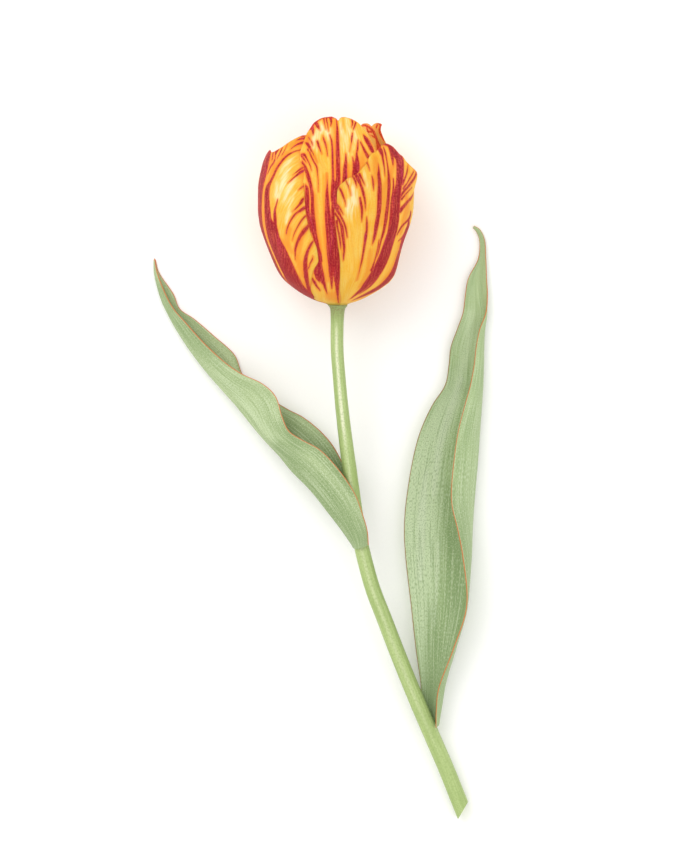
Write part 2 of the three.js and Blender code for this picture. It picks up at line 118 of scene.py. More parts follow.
# The stem's painted highlight runs along it at this share of the way round
PAINTED_HIGHLIGHT_TURN = 0.265             # share of the way round at which it is brightest, 0.25 at the top
CUT_POINT = np.array([58.8, -134.2, 0])
CUT_DIRECTION = np.array([-3.6, -6.2, 0])   # along the slanting cut

# Profiles of the parts inside the bloom, as (height along its axis, radius)
RECEPTACLE = dict(
    steps=27,
    profile=[(3.1, 0), (3.1, 0.8), (2.9, 1.2), (2.4, 1.6), (1.9, 1.8), (1.4, 2.1), (1.3, 2.6),
             (1.2, 3.2), (1.05, 3.7), (0.85, 3.95)],
)
DISC = dict(
    sides=48,
    steps=24,
    profile=[(3.5, 0), (3.5, 2.6), (3.6, 3.1), (4, 3.6), (4.5, 3.6), (4.8, 3.3), (4.9, 2.6), (4.9, 0)],
)
FILAMENT = dict(
    sides=16,
    steps=30,
    profile=[(4.3, 0), (4.4, 0.7), (8, 0.8), (12, 0.6), (14.9, 0.35), (15, 0)],
)
ANTHER = dict(
    sides=32,
    steps=56,
    profile=[(14, 0), (14.1, 0.7), (15.4, 1.3), (17.6, 1.5), (21, 1.5), (25, 1.35), (27.6, 1),
             (29, 0.5), (29.1, 0)],
)
OVARY = dict(
    sides=54,
    steps=50,
    profile=[(5.1, 0), (5.1, 1.3), (6, 2), (8.1, 2.6), (12, 3.05), (15.6, 3.2), (20, 3.05),
             (24, 2.6), (25.3, 2.4), (25.4, 0)],
)
STIGMA = dict(
    sides=90,
    steps=40,
    profile=[(24.6, 0), (24.6, 1.8), (24.9, 3.2), (25.5, 4.3), (26.2, 4.5), (26.9, 4.3),
             (27.3, 3.2), (27.1, 1.6), (26.8, 0)],
)
STAMEN_COUNT = 6
STAMEN_RING = 2.8
STAMEN_LEAN = 0.3               # leaning out for each millimetre of height

# How those parts differ from round, as shares of their radius, and how often round them
ANTHER_FURROW = 0.2
FURROW_SHARPNESS = 6
ANTHER_GRAIN = 0.03
ANTHER_WAVES = (3, 5)           # of its grain: radians for each millimetre up, and waves round it
PISTIL_PARTS = 3                # ridges of the ovary, and lobes of the stigma
OVARY_RIDGE = 0.14
STIGMA_WAIST = 0.62
STIGMA_FRILLS = 9
STIGMA_FRILL = 0.03

# The leaves are troughs. A station is the x, y, z of the keel, of the near edge and of the far
# edge, then how far the near half and the far half bulge, to the side that hand gives. The greens
# are the light, the middle and the dark one, and sheen is the roughness. The coloured margin is
# rim wide, and the far one is as brown as stated.
LEAF_THICKNESS = 0.8
LEAF_THIN = 0.45                # share of that at the margin
LEAF_MARGIN_REACH = 2.5         # distance over which it thins
LEAVES = [
    dict(
        name="leaf_upper",
        hand=-1,
        greens=[(199, 216, 164), (179, 198, 144), (129, 154, 97)],
        sheen=0.45,
        rim=0.3,
        brown_margin=0.2,
        stations=[
            (13.35, -31.6, 14.4, 19.2, -30.5, 17.1, 18.2, -30.9, 11.2, 2.7, 2.4),
            (12.0, -29.7, 14.6, 18.7, -24.9, 17.6, 18.2, -25.3, 12.0, 2.7, 2.4),
            (8.4, -24.7, 15.2, 16.8, -18.1, 19.4, 16.2, -18.1, 12.0, 2.3, 2.0),
            (2.8, -17.6, 14.8, 13.7, -9.9, 21.0, 13.8, -8.5, 12.3, 2.1, 1.8),
            (-4.2, -8.9, 13.8, 7.4, -0.5, 22.0, 9.2, 1.6, 12.6, 2.0, 1.8),
            (-12.2, -0.7, 12.6, -0.4, 7.7, 21.8, 4.2, 10.3, 11.4, 2.0, 2.0),
            (-16.9, 5.3, 11.6, -7.8, 11.8, 21.0, -1.4, 16.3, 9.6, 2.0, 2.0),
            (-21.4, 10.1, 10.6, -12.6, 15.1, 20.0, -7.4, 20.9, 7.9, 1.9, 1.9),
            (-25.8, 15.0, 9.6, -15.2, 20.4, 18.9, -12.7, 23.6, 6.2, 1.8, 1.8),
            (-30.1, 20.2, 8.5, -18.0, 29.0, 17.6, -18.2, 27.0, 4.4, 1.7, 1.7),
            (-34.3, 25.5, 7.4, -23.0, 33.9, 16.0, -23.4, 31.5, 3.0, 1.6, 1.6),
            (-40.1, 32.1, 6.1, -32.0, 38.3, 13.6, -31.0, 37.5, 1.9, 1.4, 1.2),
            (-45.2, 37.9, 5.0, -38.6, 42.9, 11.4, -34.4, 45.5, 1.2, 1.2, 1.0),
            (-52.2, 47.1, 3.7, -47.4, 51.1, 8.2, -42.8, 53.3, 0.8, 0.9, 0.9),
            (-58.0, 56.1, 2.8, -54.6, 59.2, 5.8, -50.9, 60.2, 0.8, 0.6, 0.6),
            (-61.2, 62.1, 2.4, -58.4, 63.5, 4.7, -56.4, 64.1, 0.9, 0.5, 0.4),
            (-63.7, 67.5, 2.1, -61.4, 68.5, 3.8, -59.0, 70.0, 1.0, 0.3, 0.3),
            (-66.5, 77.9, 1.5, -65.5, 78.7, 2.1, -65.0, 79.1, 1.0, 0.1, 0.1),
            (-66.9, 83.6, 1.2, -66.6, 84.4, 1.4, -66.3, 84.0, 1.0, 0, 0),
        ],
    ),
    dict(
        name="leaf_lower",
        hand=1,
        greens=[(187, 209, 153), (169, 193, 135), (138, 163, 108)],
        sheen=0.5,
        rim=0.12,
        brown_margin=0.9,
        stations=[
            (47.2, -101.5, 7.4, 46.2, -103.9, 9.4, 40.4, -104.1, 3.3, 0.4, 2.6),
            (48.4, -94.9, 7.4, 46.3, -97.3, 11.0, 40.0, -95.3, 3.6, 0.5, 2.2),
            (49.8, -86.6, 6.8, 47.2, -88.5, 12.4, 40.2, -88.0, 4.4, 0.6, 2.0),
            (53.6, -71.7, 4.6, 53.4, -71.7, 14.4, 38.1, -71.7, 6.2, 0.6, 2.4),
            (57.4, -55.7, 2.7, 58.5, -54.9, 16.4, 36.3, -55.3, 6.8, 0.5, 3.0),
            (59.8, -34.9, 1.9, 56.9, -34.9, 18.4, 34.0, -34.9, 7.0, 1.6, 3.4),
            (60.5, -24.5, 1.8, 54.9, -24.5, 18.8, 33.5, -25.3, 7.0, 2.0, 3.4),
            (61.5, -12.9, 1.8, 52.4, -12.9, 18.6, 34.2, -13.7, 7.0, 2.2, 3.4),
            (63.2, 6.7, 1.8, 53.8, 6.7, 16.6, 37.6, 6.7, 6.4, 2.2, 3.0),
            (63.8, 16.3, 1.8, 55.4, 16.3, 15.2, 40.5, 16.3, 6.0, 2.0, 2.8),
            (64.4, 25.5, 1.8, 57.8, 25.5, 13.6, 44.8, 25.5, 5.4, 1.8, 2.4),
            (64.9, 33.5, 1.8, 60.0, 33.5, 11.8, 49.9, 33.5, 4.6, 1.5, 2.0),
            (65.1, 41.5, 1.9, 61.5, 41.5, 9.6, 51.4, 41.5, 4.2, 1.2, 1.8),
            (65.2, 48.7, 2.0, 62.4, 49.1, 8.0, 52.2, 48.7, 3.8, 1.0, 1.6),
            (65.4, 55.5, 2.0, 63.8, 55.9, 6.4, 54.6, 55.5, 3.4, 0.8, 1.4),
            (65.8, 62.7, 2.0, 66.3, 62.7, 5.2, 57.1, 62.7, 3.0, 0.5, 1.0),
            (64.6, 69.9, 1.8, 66.9, 69.9, 3.9, 58.0, 69.9, 2.8, 0.2, 0.7),
            (64.0, 76.3, 1.7, 66.6, 76.3, 3.2, 59.2, 76.3, 2.4, 0.1, 0.4),
            (64.4, 84.3, 1.5, 66.3, 84.3, 2.5, 63.2, 84.3, 1.9, 0.1, 0.1),
            (64.8, 91.5, 1.4, 65.8, 91.9, 1.9, 63.6, 91.5, 1.6, 0, 0),
            (63.1, 95.3, 1.3, 64.0, 95.9, 1.5, 62.3, 95.1, 1.3, 0, 0),
            (61.2, 96.9, 1.2, 61.6, 97.5, 1.3, 61.0, 96.5, 1.2, 0, 0),
        ],
    ),
]
LEAF_COLUMNS = 72
LEAF_ROWS = 260
KEEL_ROUNDING = 0.07            # share of each half over which the keel is rounded
KEEL_STEP = 1e-4                # share of its length over which its direction is taken
KEEL_STEPS = 199                # in which its length is measured
LEAF_CHART_WIDTH = 1.5          # units of the chart from the keel to a margin
BROWN_UNTIL = 0.6               # shares of the leaf's length between which the brown fades out
GREEN_FROM = 0.8
LEAF_STROKE_REACH = 8           # distance from the strokes past which all places count alike

# Pale streaks of the leaves, partly painted highlights, pale areas of painted light and painted shade in
# the hollows, as (x, y, half their width) in the view from above. A width below 0 makes a stroke fainter,
# here and on the petals.
# Pale streaks, partly painted highlights
LEAF_PALE_STREAKS_AND_HIGHLIGHTS = {
    "leaf_lower": [
        [(56.4, 36, 0.3), (53.2, 26, 0.7), (50.2, 17.3, 0.8), (47.4, 8.1, 0.8), (45.8, -3.1, 0.6),
         (45.3, -10, 0.3)],
        [(42.3, -1.1, 0.2), (41.5, -8.2, 0.5), (40.7, -15.9, 0.9), (40.5, -23.5, 1), (40.2, -31.2, 0.9),
         (39.6, -44, 0.5)],
        [(47, -30, -0.4), (46.6, -40, -0.3), (46, -52, -0.5), (45.4, -64, -0.9)],
    ],
    "leaf_upper": [
        [(-14, 14, -2), (-6, 3, -1.2), (2, -6, -2.4), (8, -15, -3)],
    ],
}
# Pale areas of painted light
LEAF_PAINTED_LIGHT = {
    "leaf_lower": [
        [(41, -88, -2), (40, -72, 0), (39.4, -50, 4), (39.5, -28, 6.4), (41, -8, 6), (44.5, 10, 4.6),
         (50, 24, 3), (55, 36, 1.6), (58, 46, 0), (60, 62, -0.6)],
    ],
    "leaf_upper": [
        [(-18, 12, -2.4), (-27, 22, -1.6), (-36, 33, -2.4), (-46, 44, -5), (-54, 55, -6)],
    ],
}
# Painted shade in the hollows and under the folded near half
LEAF_SHADES = {
    "leaf_lower": [
        [(50.6, -8, 0.4), (51.6, -16, 1.6), (53.6, -27, 2.6), (55, -38, 3), (55, -50, 3), (53.4, -62, 2.6),
         (50.4, -72, 2.4), (47.4, -82, 2.6), (44.6, -90, 2.6), (43, -97, 2)],
        [(44, -58, 1.8), (45, -76, 4.4), (43.4, -90, 2.6)],
    ],
    "leaf_upper": [
        [(-13.5, 17, 0.6), (-9.5, 11.5, 1.4), (-2.4, 10, 0.8), (3, 6, 0.8), (8.6, -0.5, 1), (12.6, -7, 0.9)],
        [(14.6, -28, 3), (10, -22, 3.6), (3, -13, 4), (-6, -3, 2.4), (-16, 8, 1)],
        [(-40, 42, -1), (-48, 50, 0.6), (-56, 60, 1), (-63, 72, 1)],
    ],
}


# Curves

def smooth_curve(points):
    """A smooth curve through points (x, y) that never overshoots them."""
    xs, ys = np.array(points, float).T
    slopes = np.diff(ys) / np.diff(xs)
    tangents = np.zeros(len(xs))
    tangents[0], tangents[-1] = slopes[0], slopes[-1]
    for i in range(1, len(xs) - 1):
        before, after = slopes[i - 1], slopes[i]
        if before * after > 0:
            tangents[i] = 2 * before * after / (before + after)

    def at(x):
        held = np.clip(np.asarray(x, float), xs[0], xs[-1])
        i = np.clip(np.searchsorted(xs, held) - 1, 0, len(xs) - 2)
        width = xs[i + 1] - xs[i]
        s = (held - xs[i]) / width
        bend = s * s * (3 - 2 * s)
        swing = width * s * (1 - s) * (tangents[i] * (1 - s) - tangents[i + 1] * s)
        return ys[i] * (1 - bend) + ys[i + 1] * bend + swing

    return at


def guide(points):
    """A curve in space through points, at a parameter from 0 to 1 shared evenly between them."""
    points = np.array(points, float)
    first = 2 * points[0] - points[1]
    last = 2 * points[-1] - points[-2]
    padded = np.vstack([first, points, last])
    gaps = np.sqrt(np.linalg.norm(np.diff(padded, axis=0), axis=1))

    def at(share):
        place = np.clip(share, 0, 1) * (len(points) - 1)
        i = np.minimum(place.astype(int), len(points) - 2)
        t = (place - i)[:, None]
        p0, p1, p2, p3 = (padded[i + k] for k in range(4))
        d0, d1, d2 = (gaps[i + k][:, None] for k in range(3))
        leave = d1 * ((p1 - p0) / d0 - (p2 - p0) / (d0 + d1) + (p2 - p1) / d1)
        reach = d1 * ((p2 - p1) / d1 - (p3 - p1) / (d1 + d2) + (p3 - p2) / d2)
        square = 3 * (p2 - p1) - 2 * leave - reach
        cube = 2 * (p1 - p2) + leave + reach
        return p1 + leave * t + square * t ** 2 + cube * t ** 3

    return at


def step(value, low, high):
    s = np.clip((value - low) / (high - low), 0, 1)
    return s * s * (3 - 2 * s)


# Meshes

def grid(name, columns, rows):
    """A flat grid from -1 to 1 each way, the start of a petal or a leaf."""
    bpy.ops.object.select_all(action="DESELECT")
    bpy.ops.mesh.primitive_grid_add(x_subdivisions=columns, y_subdivisions=rows, size=2)
    piece = bpy.context.object
    piece.name = name
    return piece


def places(piece):
    values = np.empty(len(piece.data.vertices) * 3)
    piece.data.vertices.foreach_get("co", values)
    return values.reshape(-1, 3)


def put(piece, points):
    """Moves a piece's vertices to points given in millimetres."""
    piece.data.vertices.foreach_set("co", (points * MM).ravel())
    piece.data.update()


def store(piece, name, values):
    attribute = piece.data.attributes.new(name, "FLOAT", "POINT")
    attribute.data.foreach_set("value", np.asarray(values, np.float32))


def set_down(piece):
    """Lifts or lowers a piece until it rests on the table."""
    points = places(piece) / MM
    points[:, 2] -= points[:, 2].min()
    put(piece, points)


def pick(*pieces):
    """Selects these pieces alone, and makes the first one active."""
    bpy.ops.object.select_all(action="DESELECT")
    for piece in pieces:
        piece.select_set(True)
    bpy.context.view_layer.objects.active = pieces[0]


def lay_chart(piece, u, v):
    """Gives the piece's UV map the value of u and v at each vertex."""
    corners = np.empty(len(piece.data.loops), int)
    piece.data.loops.foreach_get("vertex_index", corners)
    chart = np.stack([u[corners], v[corners]], axis=1)
    piece.data.uv_layers.active.data.foreach_set("uv", chart.ravel())


def tube(name, sides, steps, place_at):
    """A closed tube. Its grid is rolled up by place_at(turn, row), which may also store values."""
    piece = grid(name, sides, steps)
    flat = places(piece)
    turn = (flat[:, 0] + 1) * math.pi
    row = np.round((flat[:, 1] + 1) / 2 * steps).astype(int)
    points, values = place_at(turn, row)
    put(piece, points)
    for key, value in values.items():
        store(piece, key, value)
    lay_chart(piece, turn / (2 * math.pi), row / steps)
    bpy.ops.object.mode_set(mode="EDIT")
    bpy.ops.mesh.select_all(action="SELECT")
    bpy.ops.mesh.remove_doubles(threshold=0.001 * MM)
    bpy.ops.mesh.normals_make_consistent(inside=False)
    bpy.ops.object.mode_set(mode="OBJECT")
    return piece


def thicken(piece, thickness, share, offset, slots_on=0):
    """Gives a sheet its thickness in millimetres, times a share of it at each vertex. Offset -1 adds
    it on the inside and 0 on both sides. The inside takes the material that many slots further on."""
    group = piece.vertex_groups.new(name="thickness")
    for level in np.unique(np.round(share, 2)):
        members = np.flatnonzero(np.round(share, 2) == level)
        group.add(members.tolist(), float(level), "REPLACE")
    solidify = piece.modifiers.new("thickness", "SOLIDIFY")
    solidify.thickness = thickness * MM
    solidify.offset = offset
    solidify.vertex_group = group.name
    solidify.material_offset = slots_on
    pick(piece)
    bpy.ops.object.modifier_apply(modifier=solidify.name)
    piece.vertex_groups.clear()


def smooth(piece, degrees):
    pick(piece)
    bpy.ops.object.shade_smooth_by_angle(angle=math.radians(degrees))


# The bloom

cup_radius = smooth_curve(CUP)


def hump(height, centre, reach):
    return np.exp(-((height - centre) / reach) ** 2)


def right_dip(height):
    """How far the cup is pressed in on its right."""
    return 0.8 * hump(height, 25, 7)


def right_bulge(height):
    """How far its right swells below that."""
    return 0.85 * hump(height, 11, 5)


def in_bloom(across, along, up):
    """Place of a point given across the bloom, along its axis and up from the axis."""
    shift = BASE_SHIFT * np.exp(-np.maximum(along, 0) / BASE_SHIFT_REACH)
    x = BLOOM_BASE[0] + shift + across
    y = BLOOM_BASE[1] + along
    z = BLOOM_BASE[2] + BLOOM_RISE * along + BLOOM_DEPTH * up
    return np.stack([x, y, z], axis=-1)


def on_cup(height, degrees, out, lean):
    """Place on the cup, moved out along its normal and in towards the axis."""
    below = np.maximum(height - SLOPE_STEP, 0)
    above = height + SLOPE_STEP
    slope = (cup_radius(above) - cup_radius(below)) / (above - below)
    length = np.hypot(1, slope)
    radius = cup_radius(height) + out / length - lean
    angle = np.radians(degrees)
    return in_bloom(radius * np.sin(angle), height - out * slope / length, radius * np.cos(angle))


# The margins of the outer petals beside the one at the front
LEFT_MARGIN = [
    (1.1, -101), (2.3, -92), (2.9, -76), (3.7, -54.5), (4.6, -48), (5.8, -43), (9.7, -30),
    (14.4, -22.6), (18.5, -16.2), (22.6, -16.5), (28.8, -20.4), (36, -22.9), (46, -24),
    (52, -24.6), (55.6, -24.8), (57.5, -22), (61, -18), (70, -17),
]
RIGHT_MARGIN = [
    (0, 13), (1.5, 11), (7, 4.2), (17, 3.6), (27, 0.8), (38, -1.3), (41.5, 0.6), (45, 0.7), (50, 3),
]

# A petal is bounded by two side edges and a middle line, each an angle at each height, and by its
# top edge, the height reached at each place across it, from -1 to 1. Angle 0 is the top of the
# lying bloom and 90 its right. The petal stands off the cup by out and leans in by lean, and where
# it is under a margin of another, on the side given with that, it lies a little lower. The view
# from above sees the petal between the two angles in seen. How far its veins fan out on either side
# is given by fan, 1 where it isn't stated. Its mesh has the columns and rows of grid.
PETALS = [
    dict(
        name="petal_inner_front",
        fan=(0.4, 0.3),
        seen=(-90, 90),
        grid=(130, 230),
        left=[(1.1, -102), (2.3, -96), (2.9, -81), (3.7, -60), (5, -53), (9, -46), (17, -32), (30, -29),
              (42, -29), (48, -26.4), (52, -25), (55.4, -24.6), (57.2, -28), (60, -30), (76, -30)],
        middle=[(0, -12), (5, -6), (14, 2), (76, 3)],
        right=[(1.1, 19), (3.7, 19), (6, 24), (9, 34), (16, 44), (52, 45), (61, 38), (67, 36.5), (76, 36)],
        top=[(-1, 68.6), (-0.9, 72.4), (-0.78, 73.7), (-0.62, 74.9), (-0.5, 75.4), (-0.42, 75.6),
             (-0.35, 75.8), (-0.27, 75.85), (-0.22, 75.6), (-0.09, 75.1), (-0.02, 74.3), (0.01, 74.3),
             (0.07, 75.2), (0.18, 75.7), (0.3, 75.8), (0.42, 75.5), (0.5, 75.3), (0.62, 74.8),
             (0.75, 74.1), (0.85, 73.1), (0.92, 71.8), (1, 67.4)],
        out=lambda across, height: FRONT_LAYER + 1.8 * step(-across, 0.3, 0.9) * step(height, 50, 59),
        under=[(LEFT_MARGIN, -1), (RIGHT_MARGIN, 1)],
        lean=lambda across, height: 4 * step(height, 58, 80),
    ),
    dict(
        name="petal_inner_back_right",
        seen=(90, 180),
        grid=(90, 120),
        left=[(0, 70), (10, 70), (30, 66), (48, 68), (56, 84), (61, 104), (65, 116.5), (70, 110), (74, 106)],
        middle=[(0, 122), (76, 128)],
        right=[(0, 168), (20, 171), (50, 171), (76, 160)],
        top=[(-1, 71.5), (-0.75, 72.8), (-0.45, 73.9), (-0.2, 74.2), (0, 74.2), (0.2, 74), (0.35, 73),
             (0.5, 70), (0.65, 64), (0.8, 56), (1, 45)],
        out=lambda across, height:
            INNER_LAYER * step(height, -4, 5) - right_dip(height) * (1 - step(across, -0.3, 0.3)),
        lean=lambda across, height: 4.8 * step(height, 50, 70),
    ),
    dict(
        name="petal_inner_back_left",
        seen=(-180, -90),
        grid=(90, 110),
        left=[(0, -170), (20, -171), (50, -171), (76, -160)],
        middle=[(0, -118), (76, -112)],
        right=[(0, -66), (10, -62), (30, -52), (55, -50), (76, -62)],
        top=[(-1, 45), (-0.7, 57), (-0.35, 63.5), (0, 66), (0.35, 65.4), (0.7, 63), (1, 53)],
        out=lambda across, height: INNER_LAYER * step(height, -4, 5),
        lean=lambda across, height: 5 * step(height, 46, 70),
    ),
    dict(
        name="petal_outer_left",
        seen=(-90, 0),
        grid=(190, 190),
        left=[(0, -152), (20, -138), (45, -136), (60, -128), (70, -120)],
        middle=[(0, -106), (12, -84), (30, -77), (70, -76)],
        right=LEFT_MARGIN,
        top=[(-1, 35), (-0.8, 47), (-0.6, 54.5), (-0.4, 59), (-0.2, 61.4), (-0.04, 62.6), (0.13, 61.6),
             (0.34, 63.4), (0.5, 66.4), (0.66, 68.8), (0.8, 69.3), (0.92, 68.2), (1, 64.6)],
        out=lambda across, height:
            0.7 * hump(height, 32, 9) * (1 - step(across, 0.2, 0.8))
            - 1.9 * step(across, 0.4, 0.85) * step(height, 47, 57),
        lean=lambda across, height: 1.4 * step(across, 0.1, 0.8) * step(height, 56, 68),
    ),
    dict(
        name="petal_outer_right",
        fan=(0.1, 1),
        seen=(0, 90),
        grid=(170, 190),
        left=RIGHT_MARGIN,
        middle=[(0, 52), (76, 50)],
        right=[(0, 98), (20, 107), (45, 107), (60, 100)],
        top=[(-1, 47.2), (-0.98, 48.4), (-0.94, 49.5), (-0.89, 50.9), (-0.82, 51.6), (-0.76, 52.5),
             (-0.7, 53.4), (-0.65, 54.8), (-0.56, 56.9), (-0.5, 59), (-0.43, 60.8), (-0.33, 61.7),
             (-0.11, 64.4), (0, 65), (0.17, 63.9), (0.3, 60.9), (0.37, 59.9), (0.41, 58), (0.46, 56.8),
             (0.56, 54.9), (0.66, 53.4), (0.73, 52.1), (0.8, 50.4), (0.87, 48), (1, 39)],
        out=lambda across, height:
            2.1 * step(across, 0.3, 0.72) * step(height, 46, 53.5)
            + right_bulge(height) * step(across, 0, 0.5)
            - right_dip(height) * step(across, -0.4, 0.3),
    ),
    dict(
        name="petal_outer_back",
        seen=(90, 200),
        grid=(110, 120),
        left=[(0, 113), (20, 112), (45, 114), (58, 120), (66, 122.8), (70.2, 121), (71.8, 116.5),
              (73, 109), (76, 105)],
        middle=[(0, 162), (50, 164), (76, 150)],
        right=[(0, 202), (20, 216), (45, 217), (60, 210), (76, 200)],
        top=[(-1, 72.8), (-0.93, 73.3), (-0.85, 73.4), (-0.7, 73.6), (-0.55, 73.2), (-0.42, 72),
             (-0.2, 71), (0, 70), (0.3, 67), (0.6, 60.5), (0.8, 53), (1, 42)],
        lean=lambda across, height: 2.2 * step(height, 50, 72),
    ),
]

